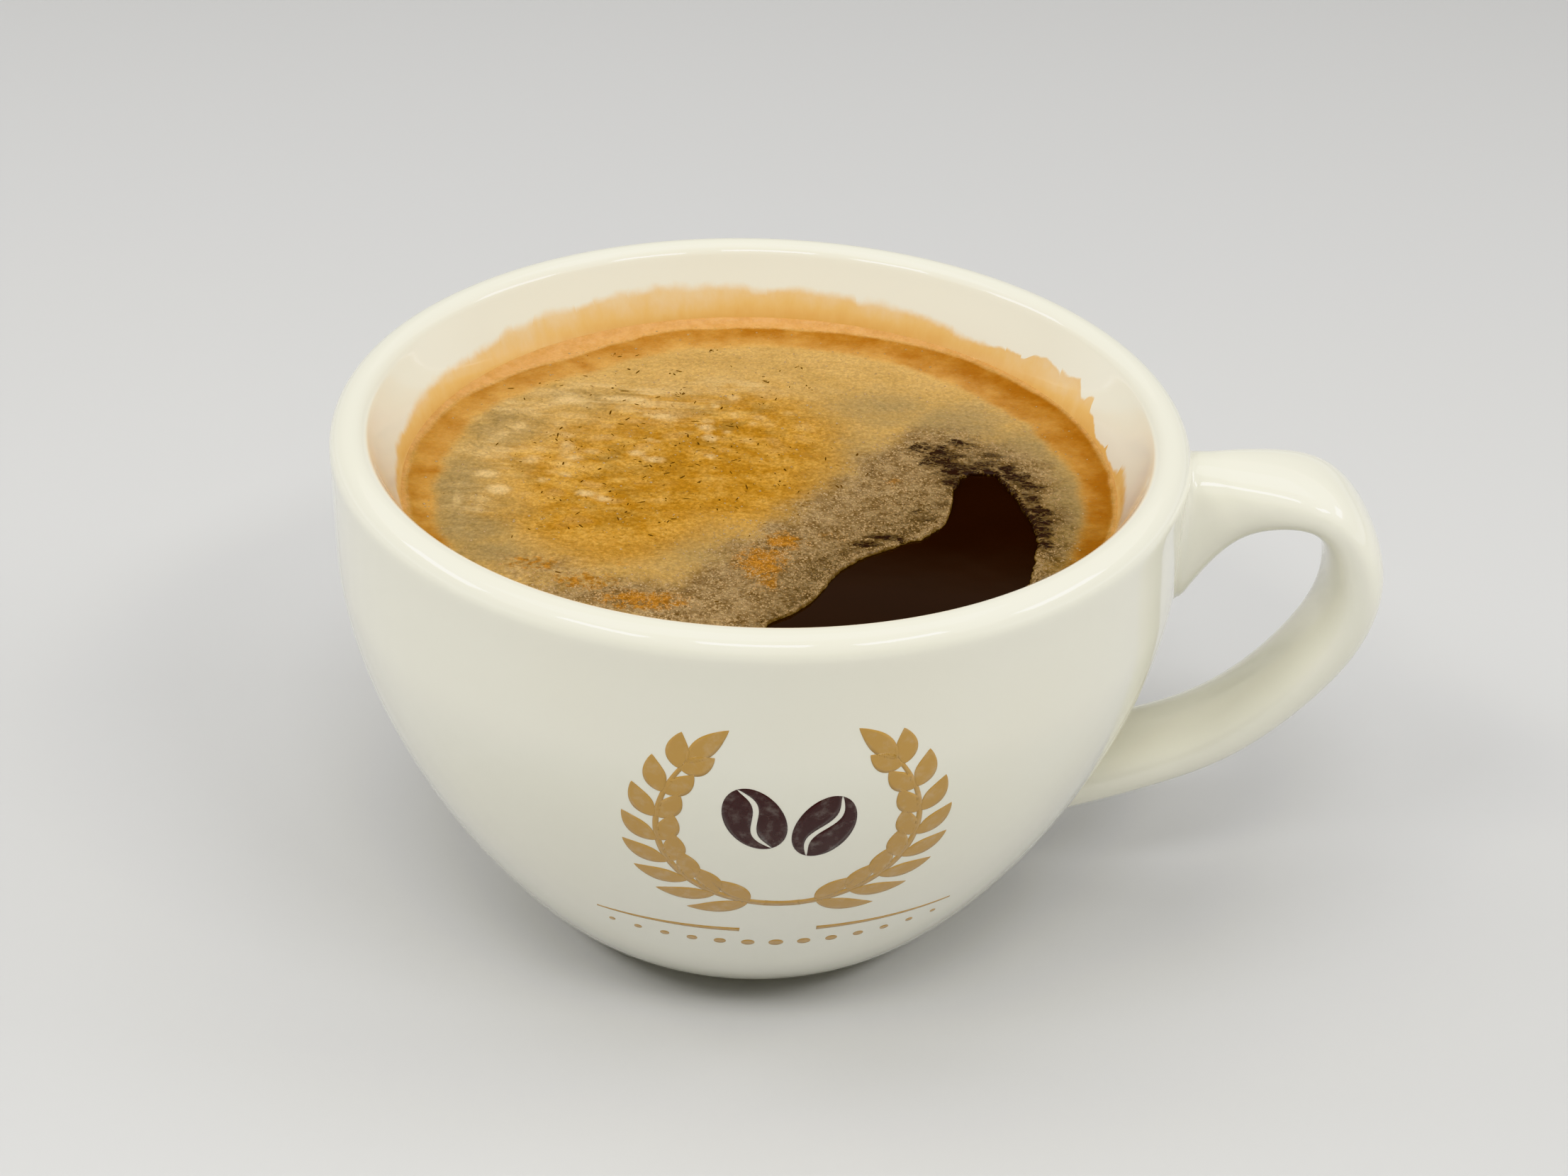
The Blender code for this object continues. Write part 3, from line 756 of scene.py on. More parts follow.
    # Lace: holes open where the attribute is high, and strands of foam run across them
    wavy = n.moved((0.85, 1.45, 1.0), 0.25)
    openness = n.total(n.swing(n.noise(820.0, 5.0, 0.78, wavy), 1.5), 0.57, n.attribute("lace"))
    strand = n.maths("ABSOLUTE", n.swing(n.noise(640.0, 4.0, 0.6, wavy), 1.0))
    hole = n.product(n.ramp(openness, 0.98, 1.04), n.ramp(strand, 0.008, 0.030))
    colour = n.mix(n.ramp(openness, 0.80, 1.0, 0.0, 0.45), shade.outputs["Color"],
                   scaled(drink.froth_shade, (0.50, 0.50, 0.40)))
    colour = n.mix(hole, colour, scaled(drink.coffee, (2.0, 2.0, 2.0)))
    rough = n.ramp(n.attribute("peach"), 0.0, 1.0, 0.40, 0.13)
    relief = n.product(n.total(n.product(bubbles, 1.1), grain), n.total(n.product(froth, 0.8), 0.25))
    relief = n.total(relief, n.product(pale, 0.5), n.product(hole, -1.2), n.product(curd, 0.4))
    n.bump(relief, 0.55, 0.13 * MM)
    return n.finish(Base_Color=colour, Roughness=rough, IOR=FOAM_IOR, Subsurface_Weight=0.10,
                    Subsurface_Scale=0.0010, Subsurface_Radius=(1.0, 0.5, 0.2))


def bubble_material(drink):
    """The film of a small bubble: glossy froth, shaded near the opening and brown where it is warm."""
    n = Nodes("crema_bubble")
    froth = drink.froth
    light = n.mix(n.noise(900.0, 2.0), scaled(froth, (0.8, 0.8, 0.8)), scaled(froth, (1.35, 1.35, 1.4)))
    light = n.mix(n.product(n.attribute("near"), 0.45), light, drink.froth_shade)
    colour = n.mix(n.attribute("warm"), light, drink.brown)
    return n.finish(Base_Color=colour, Roughness=0.18, IOR=FOAM_IOR)


def fleck_material():
    """A fleck of ground coffee, nearly black."""
    n = Nodes("coffee_fleck")
    colour = n.mix(n.noise(700.0), (0.035, 0.014, 0.004), (0.13, 0.058, 0.014))
    return n.finish(Base_Color=colour, Roughness=0.9, Specular_IOR_Level=0.15)


def print_material(name, colour):
    """A fired print: one satin colour, thin and uneven in tone, with the glaze's gloss over it."""
    n = Nodes(name)
    worn = n.ramp(n.noise(700.0, 3.0, 0.6), 0.45, 0.80, 0.0, 0.30)
    pale = tuple(c * 0.6 + 0.4 * w for c, w in zip(colour, (0.80, 0.76, 0.66)))
    glaze_ripple(n)
    return n.finish(Base_Color=n.mix(worn, colour, pale), Roughness=0.14, IOR=GLAZE_IOR,
                    Coat_Weight=0.2, Coat_Roughness=0.05)


# The cup

class AMERICANO_OT_cup_wall(bpy.types.Operator):
    """Turn the cup's wall, with its rim, hollow and foot"""

    bl_idname = "americano.cup_wall"
    bl_label = "Cup wall"

    def execute(self, context):
        cup = context.scene.americano_cup
        outline = joined(hollow_outline(cup), outer_outline(cup), foot_outline(cup))
        columns = cup.columns
        poles = np.array([[AXIS_X, 0.0, outline[0, 1]], [AXIS_X, 0.0, outline[-1, 1]]])
        points = np.concatenate([turned_grid(outline[1:-1], columns), poles])
        stain, low, runs = self.stain_depth(cup, points, len(hollow_outline(cup)))
        piece = new_piece("cup_wall", points, loft_faces(len(outline) - 2, columns), glaze_material(cup),
                          {"stain": stain, "stain_low": low, "stain_runs": runs})
        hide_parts("cup")
        return {"FINISHED"}

    @staticmethod
    def stain_depth(cup, points, hollow_rows):
        """How far, in mm, each point of the hollow lies under the stain's upper edge, far over it
        outside the hollow, then how wet it is, and how much of the edge runs down in steps. The edge
        is the table's height and 0.45 mm of noise. The wetness falls by 0.36 with each mm over the
        crema, and is 0.25 less about 140 degrees. The steps are 0.20 + 0.9 exp(-((a - 27) / 24)^2)
        with the azimuth a in degrees."""
        azimuth = np.arctan2(points[:, 1], points[:, 0] - AXIS_X)
        wall_radius = 42.0
        top = round_the_cup(STAIN_HEIGHTS, azimuth)
        top += 0.45 * cloud(azimuth * wall_radius, azimuth * 0.0, 5.0, 5)
        above = (points[:, 2] - CREMA_LEVEL) / MM
        radius = np.hypot(points[:, 0] - AXIS_X, points[:, 1])
        clean_rim = 3.4 * MM
        hollow_points = (hollow_rows - RIM_STEPS // 2) * cup.columns
        inside = (np.arange(len(points)) < hollow_points) & (radius < CUP_RADIUS - clean_rim)
        depth = np.where(inside, top - above, NO_STAIN)
        thin = 0.25 * np.exp(-((np.degrees(azimuth) - 140.0) / 28.0) ** 2)
        low = np.where(inside, 1.15 - 0.36 * above - thin, 0.0)
        runs = 0.20 + 0.9 * np.exp(-((np.degrees(azimuth) - 27.0) / 24.0) ** 2)
        return depth, low, runs


class AMERICANO_OT_cup_handle(bpy.types.Operator):
    """Sweep the strap handle from its upper root to its lower one"""

    bl_idname = "americano.cup_handle"
    bl_label = "Cup handle"

    def execute(self, context):
        cup = context.scene.americano_cup
        rows, sides = 150, 56
        table = [(outer[0], outer[1], inner[0], inner[1], width) for outer, inner, width in HANDLE_STATIONS]
        points = self.sections(smooth_through(table, rows) * MM, sides)
        points = self.filleted(points, outer_outline(cup), cup.handle_fillet)
        points = points.reshape(-1, 3)
        points[:, 0] += AXIS_X
        ends = points.reshape(rows, sides, 3)[[0, -1]].mean(axis=1)
        points = np.concatenate([points, ends])
        dry = np.zeros(len(points))
        glaze = bpy.data.materials["glaze_warm_white"]
        piece = new_piece("cup_handle", points, loft_faces(rows, sides), glaze,
                          {"stain": dry + NO_STAIN, "stain_low": dry, "stain_runs": dry})
        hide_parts("cup")
        return {"FINISHED"}

    @staticmethod
    def sections(rows, sides):
        """Superellipses |u|^e + |v|^e = 1 with e = 2.4, u between the outer and inner edge and v
        across the width."""
        turn = np.linspace(0.0, 2.0 * math.pi, sides, endpoint=False)
        exponent = 2.4
        power = 2.0 / exponent
        u = np.sign(np.cos(turn)) * np.abs(np.cos(turn)) ** power
        v = np.sign(np.sin(turn)) * np.abs(np.sin(turn)) ** power
        middle = (rows[:, 0:2] + rows[:, 2:4]) / 2.0
        half = (rows[:, 0:2] - rows[:, 2:4]) / 2.0
        x = middle[:, :1] + half[:, :1] * u
        z = middle[:, 1:] + half[:, 1:] * u
        y = rows[:, 4:5] / 2.0 * v
        return np.stack([x, y, z], axis=-1)

    @staticmethod
    def filleted(points, outline, radius):
        """Each point nearer than radius to the cup's wall moves away from its section's middle by
        radius - sqrt(radius^2 - (radius - distance)^2), which is a round fillet."""
        order = np.argsort(outline[:, 1])
        wall = np.interp(points[..., 2], outline[order, 1], outline[order, 0])
        distance = np.hypot(points[..., 0], points[..., 1]) - wall
        into = np.clip(radius - distance, 0.0, radius)
        grow = radius - np.sqrt(radius ** 2 - into ** 2)
        away = points - points.mean(axis=1, keepdims=True)
        away /= np.linalg.norm(away, axis=-1, keepdims=True)
        return points + away * grow[..., None]


# The drink

def closed_curve(points, count):
    """A closed Catmull-Rom curve: each span is the cubic whose end slopes are half the step between
    the neighbours."""
    p1 = np.asarray(points, dtype=float)
    p0, p2, p3 = np.roll(p1, 1, axis=0), np.roll(p1, -1, axis=0), np.roll(p1, -2, axis=0)
    t = np.linspace(0.0, 1.0, count, endpoint=False)[None, :, None]
    p0, p1, p2, p3 = (p[:, None, :] for p in (p0, p1, p2, p3))
    curve = 0.5 * (2 * p1 + (p2 - p0) * t + (2 * p0 - 5 * p1 + 4 * p2 - p3) * t ** 2
                   + (3 * p1 - p0 - 3 * p2 + p3) * t ** 3)
    return curve.reshape(-1, 2)


def edge_reach(angle, edge, middle):
    """Distance in mm from a middle to a closed curve about it, at each angle."""
    curve = closed_curve(edge, 60) - np.array(middle)
    at = np.arctan2(curve[:, 1], curve[:, 0])
    order = np.argsort(at)
    return np.interp(angle, at[order], np.hypot(curve[:, 0], curve[:, 1])[order], period=2 * math.pi)


def past_the_edge(x, y, edge, middle):
    """Distance in mm past a closed curve, along the line from its middle. Inside it is below 0."""
    dx, dy = x - middle[0], y - middle[1]
    return np.hypot(dx, dy) - edge_reach(np.arctan2(dy, dx), edge, middle)


def opening_reach(angle):
    """Distance in mm from the opening's middle to its edge at each angle, frayed by noise: up to
    0.36 mm all round, and by nearly 1 mm more from 6 to 16 mm towards the far side."""
    reach = edge_reach(angle, OPENING, OPENING_MIDDLE)
    across, deep = reach * np.cos(angle), reach * np.sin(angle)
    far = step_up(6.0, 16.0, deep)
    fray = cloud(across, deep, 1.0, 11) * 0.22 + cloud(across, deep, 0.5, 12) * 0.14
    coarse = cloud(across, deep, 2.0, 13) * 0.5 + cloud(across, deep, 0.9, 14) * 0.45
    return reach + fray + far * coarse


def wall_reach(angle, radius):
    """Distance from the opening's middle to a circle about the cup's axis, along each angle: the
    root of |middle + t (cos, sin)| = radius."""
    middle = np.array(OPENING_MIDDLE)
    along = middle[0] * np.cos(angle) + middle[1] * np.sin(angle)
    return -along + np.sqrt(along ** 2 - middle @ middle + radius ** 2)


def round_the_opening(reach, angle):
    """The point that lies reach mm from the opening's middle at an angle."""
    return OPENING_MIDDLE[0] + reach * np.cos(angle), OPENING_MIDDLE[1] + reach * np.sin(angle)


def hollow_radius(hollow, level):
    """The hollow's radius at a level, read off its outline."""
    return float(np.interp(level, hollow[:, 1], hollow[:, 0]))


def from_the_opening(x, y):
    """Distance in mm from the opening's frayed edge, measured along the line from its middle."""
    dx, dy = x - OPENING_MIDDLE[0], y - OPENING_MIDDLE[1]
    return np.hypot(dx, dy) - opening_reach(np.arctan2(dy, dx))


def near_the_opening(x, y):
    """The froth's shade about the opening: exp(-(d / 6)^2) with the distance d in mm from its edge,
    less 0.7 exp(-(d / 0.9)^2) for the light lip."""
    far = np.clip(from_the_opening(x, y), 0.0, None)
    return np.exp(-(far / 6.0) ** 2) - 0.7 * np.exp(-(far / 0.9) ** 2)


def lace_holes(x, y):
    """How far the foam opens into lace, 0 to 1: soft spots, and a fringe on the opening's far side
    that falls as exp(-(d / 1.3)^2)."""
    edge = np.clip(from_the_opening(x, y), 0.0, None)
    far_side = step_up(-3.0, 1.0, y) + step_up(26.0, 29.0, x) * step_up(-16.0, -8.0, y)
    fringe = 0.62 * np.clip(far_side, 0.0, 1.0) * np.exp(-(edge / 1.3) ** 2)
    wide = [(sx, sy, across * LACE_SPREAD, deep * LACE_SPREAD, strength)
            for sx, sy, across, deep, strength in LACE]
    return np.maximum(LACE_OPEN * blob(x, y, wide), fringe)


def foam_height(x, y, contact, drink):
    """Height of the foam's top in mm over its level: it climbs the wall as exp(-w / 1.0) with the
    distance w from it, rounds down to the bare coffee in a quarter ellipse within 0.6 mm of the
    opening, and has low swells, ridges, froth and raised islands."""
    from_wall = contact - np.hypot(x, y)
    edge = np.clip(from_the_opening(x, y), 0.0, None)
    climb_reach, lip_width, lip_film = 1.0, 0.6, 0.04
    climb = drink.climb / MM * np.exp(-np.clip(from_wall, 0.0, None) / climb_reach)
    lip = np.clip(1.0 - edge / lip_width, 0.0, 1.0)
    drop = -(drink.liquid_drop / MM - lip_film) * (1.0 - np.sqrt(1.0 - lip ** 2))
    froth = step_up(2.0, -2.0, past_the_edge(x, y, FROTH_EDGE, FROTH_MIDDLE))
    swell = 0.06 * cloud(x * 0.55, y, 4.2, 21) + 0.03 * cloud(x * 0.5, y * 1.2, 1.6, 22)
    ridges = 0.05 * cloud(x * 0.25, y, 0.9, 23) * blob(x, y, STREAKS)
    lumps = (0.025 + 0.05 * froth) * cloud(x, y, 0.75, 24) + 0.05 * blob(x, y, ISLANDS)
    quiet = np.clip(from_wall / 2.5, 0.0, 1.0) * np.clip(edge / 1.2, 0.3, 1.0)
    return climb + drop + (swell + ridges + lumps) * quiet


def foam_tones(x, y, contact):
    """Where the foam is gold, grey, froth, brown, ring, wet strip, pale or lace, mostly 0 to 1. Spots
    fall as exp(-d^2), outlines ease over a few mm with noise added to the distance, and the ring
    lies between the two tables' distances from the wall, darkest towards the wall, with painted
    shade that makes it darker still towards +X."""
    azimuth = np.arctan2(y, x)
    from_wall = contact - np.hypot(x, y)
    ring_radius = 40.0
    around = azimuth * ring_radius
    wobble = 0.4 * cloud(around, around * 0.0, 6.0, 31) + 0.35 * cloud(x * 0.5, y, 2.0, 32)
    inner = round_the_cup(RING_INNER, azimuth) + wobble
    outer = round_the_cup(RING_OUTER, azimuth) + 0.4 * wobble
    ring = step_up(inner + 0.9, inner - 2.2, from_wall) * step_up(outer - 0.8, outer + 0.8, from_wall)
    ring_depth_and_shade = np.clip((inner - from_wall) / np.maximum(inner - outer, 0.5), 0.0, 1.0) ** 0.5
    # Painted shade: the ring's depth grows towards +X by a cosine of the azimuth
    ring_depth_and_shade *= 0.78 + 0.22 * np.cos(azimuth)
    peach = step_up(outer + 0.8, outer - 0.8, from_wall)
    gold = past_the_edge(x, y, GOLD_EDGE, GOLD_MIDDLE) + 2.2 * cloud(x * 0.7, y, 4.0, 33)
    froth = past_the_edge(x, y, FROTH_EDGE, FROTH_MIDDLE) + 1.8 * cloud(x, y, 3.0, 34)
    froth = np.maximum(step_up(5.0, -5.0, froth), blob(x, y, FRONT_FROTH))
    return {"near": near_the_opening(x, y), "lace": lace_holes(x, y),
            "gold": step_up(8.0, -9.0, gold), "froth": froth,
            "ring": ring, "ring_depth_and_shade": ring_depth_and_shade, "peach": peach,
            "grey": blob(x, y, GREY), "brown": blob(x, y, BROWN), "cells": blob(x, y, CELLS),
            "island": blob(x, y, ISLANDS), "streak": blob(x, y, STREAKS)}


class AMERICANO_OT_coffee(bpy.types.Operator):
    """Fill the cup with black coffee, just into the wall all round"""

    bl_idname = "americano.coffee"
    bl_label = "Coffee"

    def execute(self, context):
        cup, drink = context.scene.americano_cup, context.scene.americano_drink
        columns, inner_rows, under_rows = 360, 28, 10
        angle = np.linspace(-math.pi, math.pi, columns, endpoint=False)
        level = (CREMA_LEVEL - drink.liquid_drop) / MM
        hollow = hollow_outline(cup) / MM
        into_wall = drink.reach / MM
        under_foam = opening_reach(angle) + 0.6
        wall = wall_reach(angle, hollow_radius(hollow, level) + into_wall)

        # Out to just under the foam's edge, then to the wall
        t = np.linspace(0.0, 1.0, inner_rows + 1)[1:, None] ** 0.7
        s = np.linspace(0.0, 1.0, under_rows + 1)[1:, None]
        x, y = round_the_opening(np.concatenate([t * under_foam, under_foam * (1 - s) + wall * s]), angle)
        top = np.stack([x, y, np.full_like(x, level)], axis=-1)

        # Down the hollow, each row at the azimuth where its column met the wall
        under_level, least_radius = 0.2, 0.5
        below = hollow[hollow[:, 1] < level - under_level][::-1]
        below = below[below[:, 0] > least_radius]
        azimuth = np.arctan2(y[-1], x[-1])
        radius = below[:, 0][:, None] + into_wall
        height = np.broadcast_to(below[:, 1][:, None] - into_wall, (len(below), columns))
        side = np.stack([radius * np.cos(azimuth), radius * np.sin(azimuth), height], axis=-1)
        grid = np.concatenate([top, side])
        poles = np.array([[*OPENING_MIDDLE, level], [0.0, 0.0, hollow[0, 1] - into_wall]])
        points = np.concatenate([grid.reshape(-1, 3), poles]) * MM
        points[:, 0] += AXIS_X
        piece = new_piece("coffee_drink", points, loft_faces(len(grid), columns), coffee_material(drink))
        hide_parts("coffee")
        return {"FINISHED"}


class AMERICANO_OT_crema(bpy.types.Operator):
    """Lay the crema on the coffee, from the opening's edge to the wall"""

    bl_idname = "americano.crema"
    bl_label = "Crema"

    def execute(self, context):
        cup, drink = context.scene.americano_cup, context.scene.americano_drink
        columns, rows, under = drink.columns, 96, 5
        angle = np.linspace(-math.pi, math.pi, columns, endpoint=False)
        hollow = hollow_outline(cup) / MM
        level = CREMA_LEVEL / MM
        contact = hollow_radius(hollow, level)
        into_wall, inset = 0.45, 0.5
        edge = opening_reach(angle)
        wall = wall_reach(angle, contact + into_wall)

        # Rows crowd towards the edge and the wall: 0.45 of even steps and 0.55 of (1 - cos) / 2
        v = np.linspace(0.0, 1.0, rows)[:, None]
        v = 0.45 * v + 0.55 * (1.0 - np.cos(math.pi * v)) / 2.0
        x, y = round_the_opening(edge * (1 - v) + wall * v, angle)
        top = np.stack([x, y, level + foam_height(x, y, contact, drink)], axis=-1)

        # The underside runs back from the wall to the edge at the layer's depth
        back = np.linspace(1.0, 0.0, under)[:, None]
        x, y = round_the_opening((edge + inset) * (1 - back) + (wall - inset) * back, angle)
        bottom = np.stack([x, y, np.full_like(x, level - drink.crema_depth / MM)], axis=-1)
        grid = np.concatenate([top, bottom])
        points = grid.reshape(-1, 3) * MM
        points[:, 0] += AXIS_X
        first = np.arange(columns)
        following = (first + 1) % columns
        last_row = (rows + under - 1) * columns
        closing = np.stack([first + last_row, following + last_row, following, first], axis=-1)
        faces = [grid_faces(rows + under, columns)[:, ::-1], closing[:, ::-1]]
        tones = foam_tones(grid[..., 0], grid[..., 1], contact)
        piece = new_piece("crema_layer", points, faces, crema_material(drink), tones)
        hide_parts("crema")
        return {"FINISHED"}


def domes(places, sizes, squash, sides=6, rings=2):
    """Joined half balls: one unit dome, sized and set at every place. Its rings are at even steps
    from a quarter of a right angle under its foot up to its top. Returns the points, the faces and
    how many points each dome has."""
    foot, pole = -0.25, -0.4
    turn = np.linspace(0.0, 2.0 * math.pi, sides, endpoint=False)
    rise = np.linspace(foot, 1.0, rings, endpoint=False) * math.pi / 2
    unit = np.stack([np.cos(rise)[:, None] * np.cos(turn), np.cos(rise)[:, None] * np.sin(turn),
                     np.broadcast_to(np.sin(rise)[:, None], (rings, sides))], axis=-1).reshape(-1, 3)
    unit = np.concatenate([unit, [[0.0, 0.0, 1.0], [0.0, 0.0, pole]]])
    scale = np.stack([sizes, sizes, sizes * squash], axis=-1)
    points = places[:, None, :] + unit[None] * scale[:, None, :]
    quads = grid_faces(rings, sides)
    ring = np.arange(sides)
    caps = np.concatenate([fan(rings * sides, ring + (rings - 1) * sides),
                           fan(rings * sides + 1, ring, flip=True)])
    offset = (np.arange(len(places)) * len(unit))[:, None, None]
    return points.reshape(-1, 3), [(quads + offset).reshape(-1, 4), (caps + offset).reshape(-1, 3)], len(unit)


class AMERICANO_OT_bubbles(bpy.types.Operator):
    """Strew small bubbles and a few coffee flecks over the crema"""

    bl_idname = "americano.bubbles"
    bl_label = "Bubbles"

    def execute(self, context):
        drink = context.scene.americano_drink
        contact = hollow_radius(hollow_outline(context.scene.americano_cup) / MM, CREMA_LEVEL / MM)
        draw = np.random.default_rng(7)
        self.bubbles(drink, contact, draw)
        self.flecks(drink, contact, draw)
        return {"FINISHED"}

    @staticmethod
    def bubbles(drink, contact, draw):
        """Small bubbles, likely in the froth and as exp(-d / 3) with the distance d in mm from the
        opening, and rare elsewhere."""
        x, y = draw.uniform(-contact, contact, (drink.bubbles * TRIES_PER_BUBBLE, 2)).T
        from_wall = contact - np.hypot(x, y)
        edge = from_the_opening(x, y)
        froth = step_up(2.0, -2.0, past_the_edge(x, y, FROTH_EDGE, FROTH_MIDDLE))
        likely = np.maximum(froth * np.maximum(0.35, np.exp(-np.clip(edge, 0.0, None) / 3.0)), 0.015)
        likely = np.maximum(likely, blob(x, y, FRONT_BUBBLES))
        most_lace, clear_of_wall, clear_of_edge, sunk = 0.32, 1.5, 0.25, 0.25
        likely = np.where(lace_holes(x, y) > most_lace, 0.0, likely)
        keep = (from_wall > clear_of_wall) & (edge > clear_of_edge)
        keep = keep & (draw.uniform(0.0, 1.0, len(x)) < likely)
        x, y = x[keep][:drink.bubbles], y[keep][:drink.bubbles]
        size = 0.08 + 0.13 * draw.uniform(0.0, 1.0, len(x)) ** 3
        z = CREMA_LEVEL / MM + foam_height(x, y, contact, drink)
        places = np.stack([x + AXIS_X / MM, y, z - sunk * size], axis=-1) * MM
        points, faces, per = domes(places, size * MM, 0.8)
        rusty = np.clip(blob(x, y, BROWN) * 1.2 - draw.uniform(0.0, 0.6, len(x)), 0.0, 1.0)
        new_piece("crema_bubbles", points, faces, bubble_material(drink),
                  {"warm": np.repeat(rusty, per), "near": np.repeat(near_the_opening(x, y), per)})

    @staticmethod
    def flecks(drink, contact, draw):
        """Flat flecks in clusters and over the gold, each stretched by a draw s along its own
        direction and by 1 / sqrt(s) across it."""
        clusters = np.repeat(np.array(FLECK_CLUSTERS), FLECKS_PER_CLUSTER, axis=0)
        fx = clusters[:, 0] + clusters[:, 2] * draw.normal(0.0, 0.8, len(clusters))
        fy = clusters[:, 1] + clusters[:, 2] * draw.normal(0.0, 0.8, len(clusters))
        fx = np.concatenate([fx, draw.normal(-12.0, 10.0, LOOSE_FLECKS)])
        fy = np.concatenate([fy, draw.normal(4.0, 11.0, LOOSE_FLECKS)])
        clear_of_wall, clear_of_edge = 4.0, 6.0
        keep = (contact - np.hypot(fx, fy) > clear_of_wall) & (from_the_opening(fx, fy) > clear_of_edge)
        fx, fy = fx[keep], fy[keep]
        size = 0.06 + 0.14 * draw.uniform(0.0, 1.0, len(fx)) ** 2
        z = CREMA_LEVEL / MM + foam_height(fx, fy, contact, drink)
        places = np.stack([fx + AXIS_X / MM, fy, z], axis=-1) * MM
        points, faces, per = domes(places, size * MM, 0.25)
        stretch = np.repeat(draw.uniform(1.0, 3.6, len(fx)), per)
        turn = np.repeat(draw.uniform(0.0, math.pi, len(fx)), per)
        middle = np.repeat(places, per, axis=0)
        dx, dy = (points - middle)[:, :2].T
        along = (dx * np.cos(turn) + dy * np.sin(turn)) * stretch
        across = (dy * np.cos(turn) - dx * np.sin(turn)) / np.sqrt(stretch)
        points[:, 0] = middle[:, 0] + along * np.cos(turn) - across * np.sin(turn)
        points[:, 1] = middle[:, 1] + along * np.sin(turn) + across * np.cos(turn)
        new_piece("coffee_flecks", points, faces, fleck_material())


# The print

def on_the_wall(p, q, cup, settings, lift):
    """Points on the cup's outside, or lift metres off it, from flat coordinates in metres: q runs
    up along the wall from the ornament's middle, and p along the ring there."""
    outline = outer_outline(cup)[::-1]
    length = np.concatenate([[0.0], np.cumsum(np.linalg.norm(np.diff(outline, axis=0), axis=1))])
    p, q = p * settings.size, q * settings.size
    middle = np.interp(settings.height, outline[:, 1], length)
    step = 0.3 * MM
    r = np.interp(middle + q, length, outline[:, 0])
    z = np.interp(middle + q, length, outline[:, 1])
    ahead = np.interp(middle + q + step, length, outline[:, 0]) - r
    up = np.interp(middle + q + step, length, outline[:, 1]) - z
    size = np.hypot(ahead, up)
    r = r + lift * up / size
    z = z - lift * ahead / size
    azimuth = settings.azimuth + p / r
    return np.stack([AXIS_X + r * np.cos(azimuth), r * np.sin(azimuth), z], axis=-1)


def shell(top, low, faces):
    """A closed shell: quads of a sheet, the same sheet under it turned over, and a narrow wall along
    each edge that only one quad has."""
    count = len(top)
    edges = np.concatenate([faces[:, [k, (k + 1) % 4]] for k in range(4)])
    border = ~np.isin(edges[:, 0] * count + edges[:, 1], edges[:, 1] * count + edges[:, 0])
    a, b = edges[border].T
    walls = np.stack([b, a, a + count, b + count], axis=1)
    return np.concatenate([top, low]), np.concatenate([faces, faces[:, ::-1] + count, walls])


def stroke(path, half_widths, across=7):
    """A flat band round a path in (p, q): the path plus and minus its normal times the half width."""
    path = np.asarray(path, dtype=float)
    ahead = np.gradient(path, axis=0)
    ahead /= np.linalg.norm(ahead, axis=1)[:, None]
    normal = np.stack([-ahead[:, 1], ahead[:, 0]], axis=1)
    side = np.linspace(-1.0, 1.0, across)[None, :, None]
    return path[:, None, :] + normal[:, None, :] * np.asarray(half_widths)[:, None, None] * side


def leaf(base, direction, length, width, curl):
    """A leaf: its spine bends by curl radians, and its half width is width sin(pi t)^0.8 (1.25 - 0.5 t)."""
    steps = 22
    t = np.linspace(0.0, 1.0, steps)
    turn = direction + curl * t
    step = length / (steps - 1)
    spine = np.stack([np.cumsum(np.cos(turn)), np.cumsum(np.sin(turn))], axis=1) * step + np.asarray(base)
    half = width * np.sin(math.pi * np.clip(t, 0.001, 0.999)) ** 0.8 * (1.25 - 0.5 * t)
    return stroke(spine, half)


